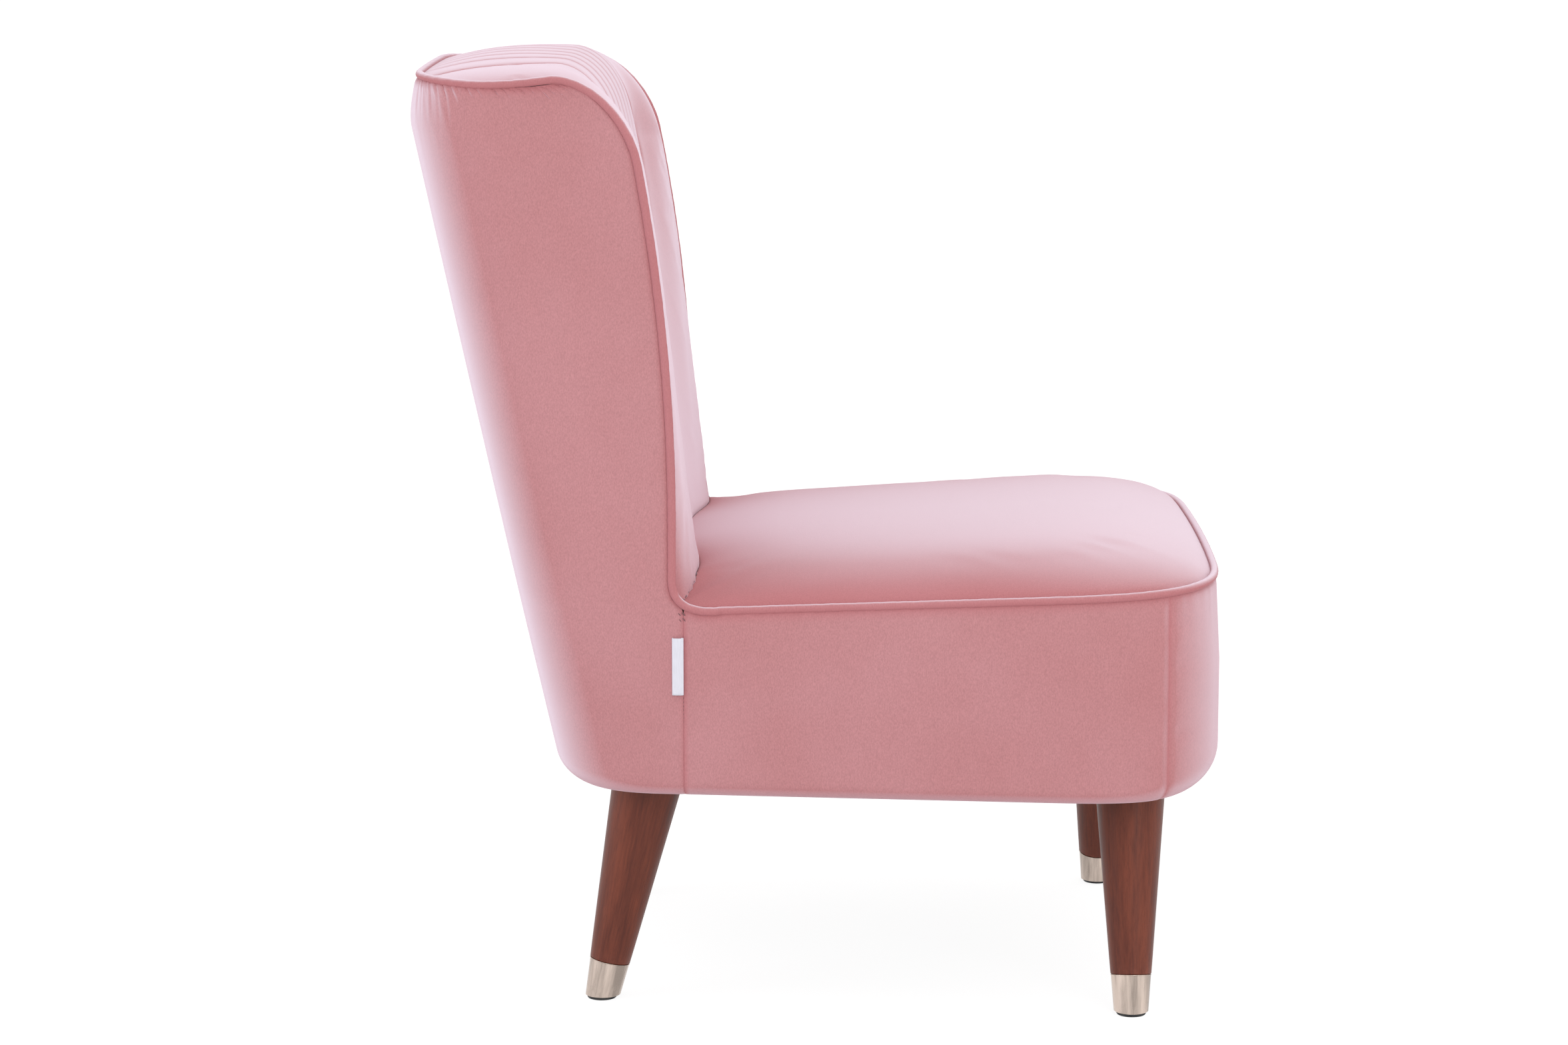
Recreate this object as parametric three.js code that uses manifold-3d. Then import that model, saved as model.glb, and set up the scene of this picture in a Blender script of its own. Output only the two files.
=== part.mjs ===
// An armless slipper chair: a raked wedge of an upholstered back on a crowned tight seat, with
// four splayed round wooden legs that end in metal ferrules.
// Millimetres. +X is the sitter's left, -Y is forward and +Z is up.
import * as THREE from "three";
import { mergeVertices } from "three/addons/utils/BufferGeometryUtils.js";
import Module from "manifold-3d";

const wasm = await Module();
wasm.setup();

// Seat outline in plan, forward measured from near the middle of the chair
const frontForward = 352; // middle of the seat's front
const frontHalfWidth = 304; // half the seat's width at its front, before the corners are rounded
const frontBow = 9; // how far the middle of the front stands forward of its ends
const frontCornerReach = 160; // length of each rounded front corner along both sides
const frontCornerPower = 3.15; // fullness of the front corners: 2 is an ellipse
const widthLostToRear = 55.6; // how much narrower each half gets towards the rear
const widthLostOver = 585; // over this length
const frontSeamInset = 51; // upright seams that bound the front border, behind its middle
const rearSeamForward = -114; // upright seams that bound the outside back

// Heights above the floor
const underside = 203; // bottom of the upholstery
const frontWeltHeight = 387.5; // seat welt at the front
const weltFall = 23; // how much lower the seat welt lies at its rear end
const weltFallOver = 457; // over this length
const backTop = 816.5; // welt along the top of the back

// Back in side view
const wingBottomForward = -124.5; // welt up the back, where it is upright
const wingLeanStart = 440; // height where it begins to curve to the rear
const wingLean = 32.7; // how far it has curved
const wingLeanOver = 323; // over this height
const topBendDepth = 58; // tighter rounding of the welt at the top front, along the depth
const topBendHeight = 73; // the same rounding, along the height
const topDip = 5; // sag of the welt along each side of the top
const weltTurnForward = -84; // where the seat welt begins to turn up the back
const weltTurnHeight = 392; // where it has turned
const weltTurnDrop = 2; // how far the turn's corner lies under the line of the seat welt
const borderRise = 2; // how far the side borders rise with the turn, at their rear ends
const borderRiseForward = -100; // where they begin to rise
const coverTurnHeight = 17; // height over which the outside back's edge follows the turn
const rearForward = -235.5; // middle of the rear face, at rearHeight
const rearHeight = 244;
const rearLean = 122; // how far the rear face leans back
const rearLeanOver = 537; // over this height
const rearBow = 8; // how far the middle of the rear stands out
const rearCornerReach = 88; // length of each rounded rear corner along both sides
const rearCornerPower = 2.5;
const rearTopTuck = 16; // how far the rear face draws in again at the top welt
const rearTopTuckOver = 45; // over this height
const rearTopTuckPower = 1.5;
const sideLeanStart = 330; // height where the sides begin to lean inwards
const sideLean = 46; // how far each side has leaned in at the top welt
const sideLeanSoftening = 80; // height over which the lean sets in

// Rounded bottom edge of the covers
const frontRoll = 33;
const sideRoll = 12;
const rearRoll = 22;
const frontFullness = 4; // how far the front border stands out between welt and rolled edge
const turnUnder = 12; // width of cover that lies flat under the chair

// Crown of the seat
const seatCrown = 26.5; // height of the seat's shoulder above the welt
const seatShoulderPower = 3.6; // a higher power makes a squarer shoulder
const seatShoulderRoot = 1.8;
const seatDome = 12; // what the middle rises above the shoulder
const creviceHeight = 393; // line where seat and back meet, at the middle
const creviceDrop = 4; // how much lower that line is at its ends
const creviceDipOver = 110; // length over which the seat dips to it
const creviceEndShare = 0.79; // half length of that line, as a share of the half width
const creviceEndRise = 7; // how far the seam rises past that line to the welt's turn

// Crown, side bolsters and sewn pleats of the back
const bolsterFullness = 22; // how far the margins stand forward of the welt at the seat
const creviceFullness = 7; // how far the middle stands forward there
const marginFullness = 5.5; // how far the margins stand forward higher up
const backHollow = 16; // how far the pleated middle lies behind the welt there
const topFullness = 17.5; // height of the crown on top of the back
const crownPower = 5; // shape of that crown across the chair
const backEdgePower = 8; // a higher power keeps the crown full nearer to the welt
const backEdgeRoot = 0.667;
const topRearPower = 3; // a higher power lets the top's crown rise more steeply from its rear welt
const bolsterTopShare = 0.88; // share of the half width where a margin has its full height, at the top
const bolsterFootShare = 0.7; // and at the seat
const bolsterHeight = 215; // height over which the bolsters fade out
const fluteDepth = 5;
const fluteCount = 7;
const pleatShape = [1, 0.2, 0, 0.2]; // share of that depth at a sewn line and at the columns past it
const fluteTopShare = 0.72; // share of the half width that the pleats cover at the top
const fluteBottomShare = 0.16; // and at the seat

// Layers of the upholstery
const coverThickness = 1.6;
const layerGap = 1; // between a cover and the padding under it
const crownGap = 3; // the same under the rounder covers of the seat and the outside back
const seamGap = 0.6; // between two covers that are sewn together
const weltRadius = 4;
const fitGap = 0.3; // between pieces that touch
const weltGap = 1; // between the welt and the edges of the covers
const belowWelt = weltRadius + weltGap;
const paddingThickness = 7; // padding of the outside back
const paddingGap = 3; // between that padding and the foam of the inside back
const backFoamDepth = 44; // the foam of the inside back reaches this far in from its welt
const backFoamSink = 14; // foam surface under the pleated cover
const foamEdge = 6; // foam edges stay this far inside the covers' faces
const foamUnderWelt = 5; // and this far under the welt
const wrapRollShare = 0.8; // the padding round the seat fills this share of the rolled edge
const wrapWall = 2.5; // and this much more

// Seat frame, springs and deck
const railThickness = 16;
const railLift = 1.5; // the rails' lower edges clear the rolled covers by this much more
const railTop = 322;
const sideRailFromFront = 184; // side rails start this far behind the front
const sideRailFromRear = 175.5; // and end this far in front of the rear
const stripWidth = 12;
const stripThickness = 2;
const frontStripInset = 116; // the front strip ends this far inside half the front width
const rearStripInset = 146;
const springRadius = 1.8;
const springArch = 5;
const springHalfWidth = 22;
const springTurnCount = 14;
const springCount = 4;
const springFromStripEnd = 2; // middle of the outer springs, in from the rear strip's ends
const springEndPower = 0.25; // a lower power widens the zigzag sooner past its ends
const deckThickness = 6;
const deckInset = 5; // the deck pad stays this far inside the rails' outer faces
const deckFromRearSeam = 2; // rear edge of the deck pad, in front of the rear seams
const blockHeight = 46;
const frontBlockInset = 194; // a front corner block reaches this far in from half the front width
const rearBlockInset = 209;
const dustCoverThickness = 1;
const dustCoverLap = 4; // how far the dust cover lies inside the rolled edge
const boltHoleRadius = 5; // hole in the dust cover for each leg's bolt

// Back frame
const postWidth = 30;
const postDepth = 30;
const postInset = 49; // middle of a rear post, in from the side
const postFromRear = 60; // and in front of the rear face
const postBelowTop = 52; // top of a rear post, under the top welt
const uprightWidth = 16;
const uprightDepth = 24;
const uprightInset = 27; // middle of a front upright, in from the side
const uprightFromWelt = 58; // and behind the welt, at its top
const uprightFootFromWelt = 52.5; // and at its foot
const uprightBelowTop = 82;
const topRailHeight = 62;
const lowRailBottom = 378;
const lowRailHeight = 50;
const backRailThickness = 18;
const stretcherHeight = 40;
const stretcherWidth = 18;
const webbingHeight = 50;
const webbingThickness = 1.4;
const webbingCount = 3;

// Legs, their ferrules and their fixings
const legTopRadius = 31.5;
const ferruleTopRadius = 18;
const footRadius = 15;
const ferruleHeight = 31.5;
const ferruleWall = 1;
const glideHeight = 3;
const glideRadius = 13;
const glideEdge = 0.8;
const boltRadius = 4;
const boltIntoLeg = 45;
const teeNutSeat = 6; // depth of the tee nut's flange under the top of its block
const teeNutFlangeRadius = 10;
const teeNutFlange = 1.5;
const teeNutBarrelRadius = 6;
const teeNutBarrel = 9;
// Middle of each foot, in from the side and from the front or rear of the seat; angles in degrees
const frontFoot = { fromSide: 65.9, fromEnd: 75, splay: 13.5, rake: 0 };
const rearFoot = { fromSide: 70.4, fromEnd: 35.2, splay: 3.5, rake: 11.9 };

// Blank label in the rear seam of one side
const labelWidth = 10;
const labelHeight = 50;
const labelBottom = 292;
const labelThickness = 2.8;
const labelWall = 0.5;

// Fineness of the curved surfaces, in steps
const curveSampleCount = 160; // fine samples that even steps are picked from
const cornerSampleCount = 96; // and the same round each corner in plan
const cornerPassCount = 4; // rounds in which a corner settles on the tapered side
const seatFineness = { side: 8, corner: 7, across: 20 };
const seatFoamFineness = { side: 5, corner: 4, across: 10 };
const backFineness = { front: 6, bend: 4, top: 4, margin: 5, flute: 4 };
const backFoamFineness = { front: 5, bend: 3, top: 3 };
const backFoamShares = [-1, -0.9, -0.75, -0.55, -0.3, 0.3, 0.55, 0.75, 0.9, 1];
const frontColumnCount = 24;
const sideColumnCount = 8;
const outsideColumnCount = 32;
const paddingColumnCount = 24;
const borderSteps = { wall: 2, roll: 3 };
const paddingShares = [0, 0.2, 0.6, 1]; // rows of the outside padding down to where its edge turns
const outsideSteps = { bend: 4, wall: 3 };
const weltSideCount = 6;
const weltSteps = { seat: 64, turn: 7, wing: 7, bend: 9, top: 40 };
const roundSideCount = 24;
const bowStepCount = 8; // along the bowed front or rear, between its corners
const fixingSideCount = 12;
const springStepCount = 4; // along each half turn of a spring
const springSideCount = 6;
const weldDistance = 0.0001; // points nearer than this are one point
const straightness = 0.003; // sine of the turn under which an outline's point is left out

const velvet = 0xd29a9a;
const finishes = {
  velvet: new THREE.MeshStandardMaterial({ color: velvet, roughness: 0.85, metalness: 0 }),
  foam: new THREE.MeshStandardMaterial({ color: 0xeee6cf, roughness: 0.95, metalness: 0 }),
  lining: new THREE.MeshStandardMaterial({ color: 0x26262a, roughness: 0.9, metalness: 0 }),
  felt: new THREE.MeshStandardMaterial({ color: 0x9a8f80, roughness: 1, metalness: 0 }),
  frameWood: new THREE.MeshStandardMaterial({ color: 0xcaa777, roughness: 0.75, metalness: 0 }),
  legWood: new THREE.MeshStandardMaterial({ color: 0x5a2a1a, roughness: 0.4, metalness: 0 }),
  ferrule: new THREE.MeshStandardMaterial({ color: 0xcdb9a0, roughness: 0.3, metalness: 1 }),
  steel: new THREE.MeshStandardMaterial({ color: 0x9a9c9f, roughness: 0.35, metalness: 1 }),
  glide: new THREE.MeshStandardMaterial({ color: 0x1b1b1c, roughness: 0.6, metalness: 0 }),
  satin: new THREE.MeshStandardMaterial({ color: 0xf1eef4, roughness: 0.45, metalness: 0 }),
};

const chair = new THREE.Group();
const { lerp, clamp, smoothstep, degToRad } = THREE.MathUtils;
const place = (across, forward, up) => new THREE.Vector3(across, -forward, up);
const sides = { left: 1, right: -1 };

function addPiece(name, geometry, finish, parent = chair) {
  const mesh = new THREE.Mesh(geometry, finishes[finish]);
  mesh.name = name;
  parent.add(mesh);
  return mesh;
}

// Closed solids from grids of points

// Triangles that enclose a positive volume face outwards; others are turned round.
function fromTriangles(points, triangles) {
  let sixVolumes = 0;
  for (let i = 0; i < triangles.length; i += 3) {
    const [a, b, c] = triangles.slice(i, i + 3).map((index) => points[index]);
    sixVolumes += a.dot(b.clone().cross(c));
  }
  const facing = sixVolumes < 0 ? [...triangles].reverse() : triangles;
  const positions = points.flatMap((point) => point.toArray());
  const geometry = new THREE.BufferGeometry();
  geometry.setAttribute("position", new THREE.Float32BufferAttribute(positions, 3));
  geometry.setIndex(facing);
  geometry.computeVertexNormals();
  return geometry;
}

// Fills the space between two grids of the same layout.
function solidBetween(outer, inner) {
  const rows = outer.length;
  const columns = outer[0].length;
  const under = rows * columns;
  const triangles = [];
  const quad = (a, b, c, d) => triangles.push(a, b, c, a, c, d);
  const index = (i, j) => i * columns + j;
  for (let i = 0; i + 1 < rows; i++) {
    for (let j = 0; j + 1 < columns; j++) {
      const [a, b, c, d] = [index(i, j), index(i, j + 1), index(i + 1, j + 1), index(i + 1, j)];
      quad(a, b, c, d);
      quad(under + a, under + d, under + c, under + b);
    }
  }
  const rim = [];
  for (let j = 0; j + 1 < columns; j++) rim.push(index(0, j));
  for (let i = 0; i + 1 < rows; i++) rim.push(index(i, columns - 1));
  for (let j = columns - 1; j > 0; j--) rim.push(index(rows - 1, j));
  for (let i = rows - 1; i > 0; i--) rim.push(index(i, 0));
  rim.forEach((from, k) => {
    const to = rim[(k + 1) % rim.length];
    quad(to, from, under + from, under + to);
  });
  return fromTriangles([...outer.flat(), ...inner.flat()], triangles);
}

// The grid moved inwards along its own normals. Its rows run down or forward and its columns
// run from the sitter's right round the front to the left, or round the rear to the right.
function sunk(grid, depth) {
  const lastRow = grid.length - 1;
  const lastColumn = grid[0].length - 1;
  const at = (i, j) => grid[clamp(i, 0, lastRow)][clamp(j, 0, lastColumn)];
  return grid.map((row, i) =>
    row.map((point, j) => {
      const along = at(i, j + 1).clone().sub(at(i, j - 1));
      const down = at(i + 1, j).clone().sub(at(i - 1, j));
      const normal = down.cross(along).normalize();
      return point.clone().addScaledVector(normal, -depth);
    }),
  );
}

// A closed tube along a ring of points, each with the direction that faces out of the chair.
function closedTube(ring, radius, sideCount) {
  const count = ring.length;
  const points = [];
  const triangles = [];
  ring.forEach(({ point, out }, i) => {
    const ahead = ring[(i + 1) % count].point;
    const behind = ring[(i + count - 1) % count].point;
    const along = ahead.clone().sub(behind).normalize();
    const across = out.clone().addScaledVector(along, -out.dot(along)).normalize();
    const third = along.clone().cross(across);
    for (let k = 0; k < sideCount; k++) {
      const angle = (2 * Math.PI * k) / sideCount;
      const spoke = across.clone().multiplyScalar(Math.cos(angle)).addScaledVector(third, Math.sin(angle));
      points.push(point.clone().addScaledVector(spoke, radius));
      const [a, b] = [i * sideCount, ((i + 1) % count) * sideCount];
      const next = (k + 1) % sideCount;
      triangles.push(a + k, b + k, b + next, a + k, b + next, a + next);
    }
  });
  return fromTriangles(points, triangles);
}

// A prism between two outlines of the same number of points.
function prismBetween(low, high) {
  const count = low.length;
  const triangles = [];
  for (let k = 0; k < count; k++) {
    const next = (k + 1) % count;
    triangles.push(k, next, count + next, k, count + next, count + k);
  }
  for (let k = 1; k + 1 < count; k++) {
    triangles.push(0, k + 1, k, count, count + k, count + k + 1);
  }
  return fromTriangles([...low, ...high], triangles);
}

function rectangleAt(across, forward, up, width, depth) {
  const corners = [[-1, -1], [1, -1], [1, 1], [-1, 1]];
  return corners.map(([i, j]) => place(across + (i * width) / 2, forward + (j * depth) / 2, up));
}

// The outline without the points that lie on a straight line between their neighbours.
function withoutStraight(outline) {
  const count = outline.length;
  return outline.filter((point, i) => {
    const before = point.clone().sub(outline[(i + count - 1) % count]).normalize();
    const after = outline[(i + 1) % count].clone().sub(point).normalize();
    return Math.abs(before.cross(after)) > straightness;
  });
}

// A plan outline extruded upwards from a height.
function extrudeUp(outline, bottom, height, holes = []) {
  const bends = withoutStraight(outline);
  const shape = new THREE.Shape(bends.map((point) => new THREE.Vector2(point.x, -point.y)));
  for (const hole of holes) {
    const path = new THREE.Path();
    path.absarc(hole.x, -hole.y, hole.radius, 0, 2 * Math.PI, true);
    shape.holes.push(path);
  }
  const settings = { depth: height, bevelEnabled: false, curveSegments: roundSideCount / 2 };
  return new THREE.ExtrudeGeometry(shape, settings).translate(0, 0, bottom);
}

function toSolid(geometry) {
  const bare = new THREE.BufferGeometry();
  const source = geometry.index ? geometry.toNonIndexed() : geometry;
  bare.setAttribute("position", source.getAttribute("position").clone());
  const merged = mergeVertices(bare, weldDistance);
  const mesh = new wasm.Mesh({
    numProp: 3,
    vertProperties: merged.attributes.position.array,
    triVerts: new Uint32Array(merged.index.array),
  });
  return new wasm.Manifold(mesh);
}

function toGeometry(solid) {
  const mesh = solid.getMesh();
  const geometry = new THREE.BufferGeometry();
  geometry.setAttribute("position", new THREE.Float32BufferAttribute(mesh.vertProperties, 3));
  geometry.setIndex([...mesh.triVerts]);
  geometry.computeVertexNormals();
  return geometry;
}

const steps = (count) => Array.from({ length: count + 1 }, (_, i) => i / count);

// Points of a polyline at even steps along it.
function spaced(points, count) {
  const reach = [0];
  for (let i = 1; i < points.length; i++) {
    reach.push(reach[i - 1] + points[i].distanceTo(points[i - 1]));
  }
  const total = reach[reach.length - 1];
  return steps(count).map((share) => {
    const wanted = share * total;
    const found = reach.findIndex((length, i) => i > 0 && length >= wanted);
    const k = found < 0 ? points.length - 1 : found;
    const within = (wanted - reach[k - 1]) / (reach[k] - reach[k - 1]);
    return points[k - 1].clone().lerp(points[k], within);
  });
}

// Forward position of a plan polyline at a distance from the chair's middle.
function lineForwardAt(line, across) {
  const next = line.findIndex((point, i) => i > 0 && (point.x - across) * (line[i - 1].x - across) <= 0);
  const [a, b] = [line[next - 1], line[next]];
  return lerp(a.y, b.y, (across - a.x) / (b.x - a.x));
}

// Outward normals of a plan polyline that runs right, front, left, or left, rear, right.
function planNormals(points) {
  const last = points.length - 1;
  const stepAt = (i) => points[i + 1].clone().sub(points[i]);
  return points.map((point, i) => {
    const inner = clamp(i, 1, last - 1);
    const along = stepAt(inner).add(stepAt(inner - 1));
    const bend = stepAt(inner).sub(stepAt(inner - 1));
    along.addScaledVector(bend, 2 * (i - inner)).normalize();
    return new THREE.Vector2(-along.y, along.x);
  });
}

// The body's outer shape

const leanSpan = backTop - sideLeanStart;
const leanScale = (sideLean * (leanSpan + sideLeanSoftening)) / leanSpan ** 2;

function leanIn(up) {
  const above = Math.max(0, up - sideLeanStart);
  return (leanScale * above ** 2) / (above + sideLeanSoftening);
}

function halfWidth(forward, up) {
  const taper = widthLostToRear / widthLostOver;
  return frontHalfWidth - taper * (frontForward - forward) - leanIn(up);
}

function weltHeight(forward) {
  return frontWeltHeight - (weltFall * (frontForward - forward)) / weltFallOver;
}

function frontLine(across) {
  return frontForward - frontBow * (across / frontHalfWidth) ** 2;
}

function rearMiddle(up) {
  const leaned = rearForward - (rearLean * (up - rearHeight)) / rearLeanOver;
  const tucked = Math.max(0, up - backTop + rearTopTuckOver) / rearTopTuckOver;
  return leaned + rearTopTuck * tucked ** rearTopTuckPower;
}

function rearLine(across, up) {
  return rearMiddle(up) + rearBow * (across / frontHalfWidth) ** 2;
}

// Welt up the front edge of the back, or a line that lies further in by some depth, and the
// upright seam that carries on below it.
const bendStart = backTop - topBendHeight;
function wingForwardAt(up) {
  const above = Math.max(0, up - wingLeanStart) / wingLeanOver;
  return wingBottomForward - wingLean * above ** 2;
}
const bendForwardAt = (rise) => wingForwardAt(bendStart + rise * topBendHeight) - topBendDepth;
const bendMiddle = bendForwardAt(1);
const weltTurnBottom = weltHeight(rearSeamForward) - weltTurnDrop;

function wingEdge(up, depth = 0, turnLower = 0) {
  if (up >= bendStart) {
    const rise = Math.min(1, (up - bendStart) / (topBendHeight - depth));
    return bendForwardAt(rise) + (topBendDepth - depth) * Math.sqrt(1 - rise ** 2);
  }
  const turned = smoothstep(up + turnLower, weltTurnBottom, weltTurnBottom + coverTurnHeight);
  return lerp(rearSeamForward, wingForwardAt(up) - depth, turned);
}

// Height of the welt along the top of the back.
function topHeight(forward) {
  const share = clamp((bendMiddle - forward) / (bendMiddle - rearMiddle(backTop)), 0, 1);
  return backTop - topDip * Math.sin(Math.PI * share);
}

// A rounded corner in plan, between a side and the front or the rear.
function cornerAt(side, angle, up, inset, { reach, power, lineAt, facing }) {
  const fromSide = reach * (1 - Math.cos(angle) ** (2 / power));
  const fromEnd = reach * (1 - Math.sin(angle) ** (2 / power));
  let across = frontHalfWidth - fromSide;
  let forward = lineAt(across, up) - facing * fromEnd;
  for (let pass = 0; pass < cornerPassCount; pass++) {
    across = halfWidth(forward, up) - fromSide;
    forward = lineAt(across, up) - facing * fromEnd;
  }
  const outX = Math.cos(angle) ** (2 - 2 / power);
  const outY = Math.sin(angle) ** (2 - 2 / power);
  const scale = inset / Math.hypot(outX, outY);
  return new THREE.Vector2(side * (across - outX * scale), forward - facing * outY * scale);
}

const frontShape = { reach: frontCornerReach, power: frontCornerPower, lineAt: frontLine, facing: 1 };
const rearShape = { reach: rearCornerReach, power: rearCornerPower, lineAt: rearLine, facing: -1 };
const cornerAngles = steps(cornerSampleCount).map((share) => (share * Math.PI) / 2);
const onSide = (side, forward, up) => new THREE.Vector2(side * halfWidth(forward, up), forward);

function keepForward(points, least) {
  const kept = [];
  points.forEach((point, i) => {
    const before = points[i - 1];
    if (before && before.y < least !== point.y < least) {
      kept.push(before.clone().lerp(point, (least - before.y) / (point.y - before.y)));
    }
    if (point.y >= least) kept.push(point);
  });
  return kept;
}

function keepBehind(points, most) {
  const flipped = (list) => list.map((point) => new THREE.Vector2(point.x, -point.y));
  return flipped(keepForward(flipped(points), -most));
}

// Round one end of the chair, from one side to the other.
function endPath(shape, up, from, to = from) {
  const first = shape.facing > 0 ? sides.right : sides.left;
  const corner = (side) => cornerAngles.map((angle) => cornerAt(side, angle, up, 0, shape));
  const start = corner(first);
  const reach = start[start.length - 1].x;
  const middle = steps(bowStepCount).slice(1, -1).map((share) => {
    const across = lerp(reach, -reach, share);
    return new THREE.Vector2(across, shape.lineAt(across, up));
  });
  const rest = corner(-first).reverse();
  return [onSide(first, from, up), ...start, ...middle, ...rest, onSide(-first, to, up)];
}

const frontSeamForward = frontForward - frontSeamInset;
const seatPath = (up) => endPath(frontShape, up, rearSeamForward + seamGap / 2);

function frontBorderPath(up) {
  return keepForward(seatPath(up), frontSeamForward + seamGap / 2);
}

// The side of the seat between its two seams, in the same direction as the whole path.
const sideBorderPath = (side) => (up) => {
  const half = seatPath(up).filter((point) => point.x * side > 0);
  return keepBehind(half, frontSeamForward - seamGap / 2);
};

const outsidePath = (up) => endPath(rearShape, up, wingEdge(up, belowWelt));
const rearRailPath = (up) => endPath(rearShape, up, rearSeamForward);

// The outside padding stops behind the foam of the inside back.
const outsidePaddingPath = (up) =>
  endPath(rearShape, up, wingEdge(up, backFoamDepth + paddingGap, backFoamDepth));

// Borders: down the wall, round the rolled edge and flat underneath

function rollAt(normal) {
  const endRoll = normal.y > 0 ? frontRoll : rearRoll;
  return sideRoll * normal.x ** 2 + endRoll * normal.y ** 2;
}

function pickOn(pathAt, share, up) {
  const even = spaced(pathAt(up), curveSampleCount);
  const index = Math.round(share * curveSampleCount);
  return { point: even[index], normal: planNormals(even)[index] };
}

// A drop from 0 to 1 is the wall, 1 to 2 the roll and 2 to 3 the part that lies underneath.
function borderPoint(pathAt, share, topAt, drop) {
  const foot = pickOn(pathAt, share, underside);
  const roll = rollAt(foot.normal);
  const wallTop = topAt((up) => pickOn(pathAt, share, up).point);
  const angle = (clamp(drop - 1, 0, 1) * Math.PI) / 2;
  const up = lerp(wallTop, underside + roll, Math.min(1, drop)) - roll * Math.sin(angle);
  const fullness = frontFullness * Math.min(1, 2 * drop) * Math.max(0, foot.normal.y) ** 2;
  const inwards = roll * (1 - Math.cos(angle)) + clamp(drop - 2, 0, 1) * turnUnder - fullness;
  const { point, normal } = pickOn(pathAt, share, up);
  return place(point.x - normal.x * inwards, point.y - normal.y * inwards, up);
}

function borderGrid(pathAt, columns, topAt, drops) {
  return drops.map((drop) => steps(columns).map((share) => borderPoint(pathAt, share, topAt, drop)));
}

const rollDrops = steps(borderSteps.roll).slice(1).map((share) => 1 + share);
const borderDrops = [...steps(borderSteps.wall), ...rollDrops, 3];
const seatBorderTop = (pointAt) => {
  const forward = pointAt(frontWeltHeight).y;
  const rise = borderRise * smoothstep(borderRiseForward - forward, 0, borderRiseForward - rearSeamForward);
  return weltHeight(forward) - belowWelt + rise;
};
const coverOver = (grid) => solidBetween(grid, sunk(grid, coverThickness));

const frontBorder = borderGrid(frontBorderPath, frontColumnCount, seatBorderTop, borderDrops);
addPiece("front_border", coverOver(frontBorder), "velvet");
for (const [name, side] of Object.entries(sides)) {
  const grid = borderGrid(sideBorderPath(side), sideColumnCount, seatBorderTop, borderDrops);
  addPiece("side_border_" + name, coverOver(grid), "velvet");
}

// Outside back: its rows crowd together where the welt bends over the top
const outsideTop = (pointAt) => topHeight(pointAt(backTop - belowWelt).y) - belowWelt;
const sideSpan = backTop - belowWelt - underside - sideRoll;
const dropTo = (up) => (backTop - belowWelt - up) / sideSpan;
const coverTurnTop = weltTurnBottom + coverTurnHeight;
const bendDrops = steps(outsideSteps.bend).map((share) => {
  const rise = Math.cos((share * Math.PI) / 2);
  return dropTo(lerp(bendStart, backTop - belowWelt, rise));
});
const wallHeights = steps(outsideSteps.wall).slice(1).map((share) => lerp(bendStart, coverTurnTop, share));
const wallDrops = [...wallHeights, weltTurnBottom].map(dropTo);
const outsideDrops = [...bendDrops, ...wallDrops, 1, ...rollDrops, 3];
const outsideBack = borderGrid(outsidePath, outsideColumnCount, outsideTop, outsideDrops);
addPiece("outside_back_cover", coverOver(outsideBack), "velvet");

// Crown of the inside back: how far it stands out of the welt's plane
function backBulge(share, up) {
  const edge = (1 - Math.abs(share) ** backEdgePower) ** backEdgeRoot;
  const down = clamp((bendStart - up) / (bendStart - creviceHeight), 0, 1);
  const pleated = lerp(fluteTopShare, fluteBottomShare, down);
  const risen = smoothstep(Math.abs(share), pleated, lerp(bolsterTopShare, bolsterFootShare, down));
  const fading = clamp((up - creviceHeight) / bolsterHeight, 0, 1);
  const high = lerp(-backHollow, marginFullness, risen);
  const low = lerp(creviceFullness, bolsterFullness, risen);
  return edge * lerp(high, low, (1 - fading) ** 2);
}

// The line where seat and inside back meet, from one turn of the welt to the other.
function crevice(share, edge) {
  const along = Math.abs(share) / creviceEndShare;
  const inner = creviceHeight - creviceDrop * Math.min(1, along) ** 2;
  const outerShare = clamp((Math.abs(share) - creviceEndShare) / (1 - creviceEndShare), 0, 1);
  const up = lerp(inner, weltHeight(rearSeamForward) + creviceEndRise, outerShare);
  const forward = wingEdge(up) + backBulge(share, up);
  return place(share * (halfWidth(forward, up) - edge), forward, up);
}

// Seat

// Height of the seat's surface, from its distance to the welt at the sides and at the front.
function seatUp(across, forward) {
  const width = halfWidth(forward, frontWeltHeight) - belowWelt;
  const nearSide = clamp(1 - (width - Math.abs(across)) / frontCornerReach, 0, 1);
  const nearFront = clamp(1 - (frontLine(across) - belowWelt - forward) / frontCornerReach, 0, 1);
  const joined = nearSide ** frontCornerPower + nearFront ** frontCornerPower;
  const near = Math.min(1, joined ** (1 / frontCornerPower));
  const shoulder = seatCrown * (1 - near ** seatShoulderPower) ** (1 / seatShoulderRoot);
  const dome = seatDome * (1 - (across / width) ** 2) * (1 - nearFront ** 2);
  return weltHeight(forward) + shoulder + Math.max(0, dome);
}

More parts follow.
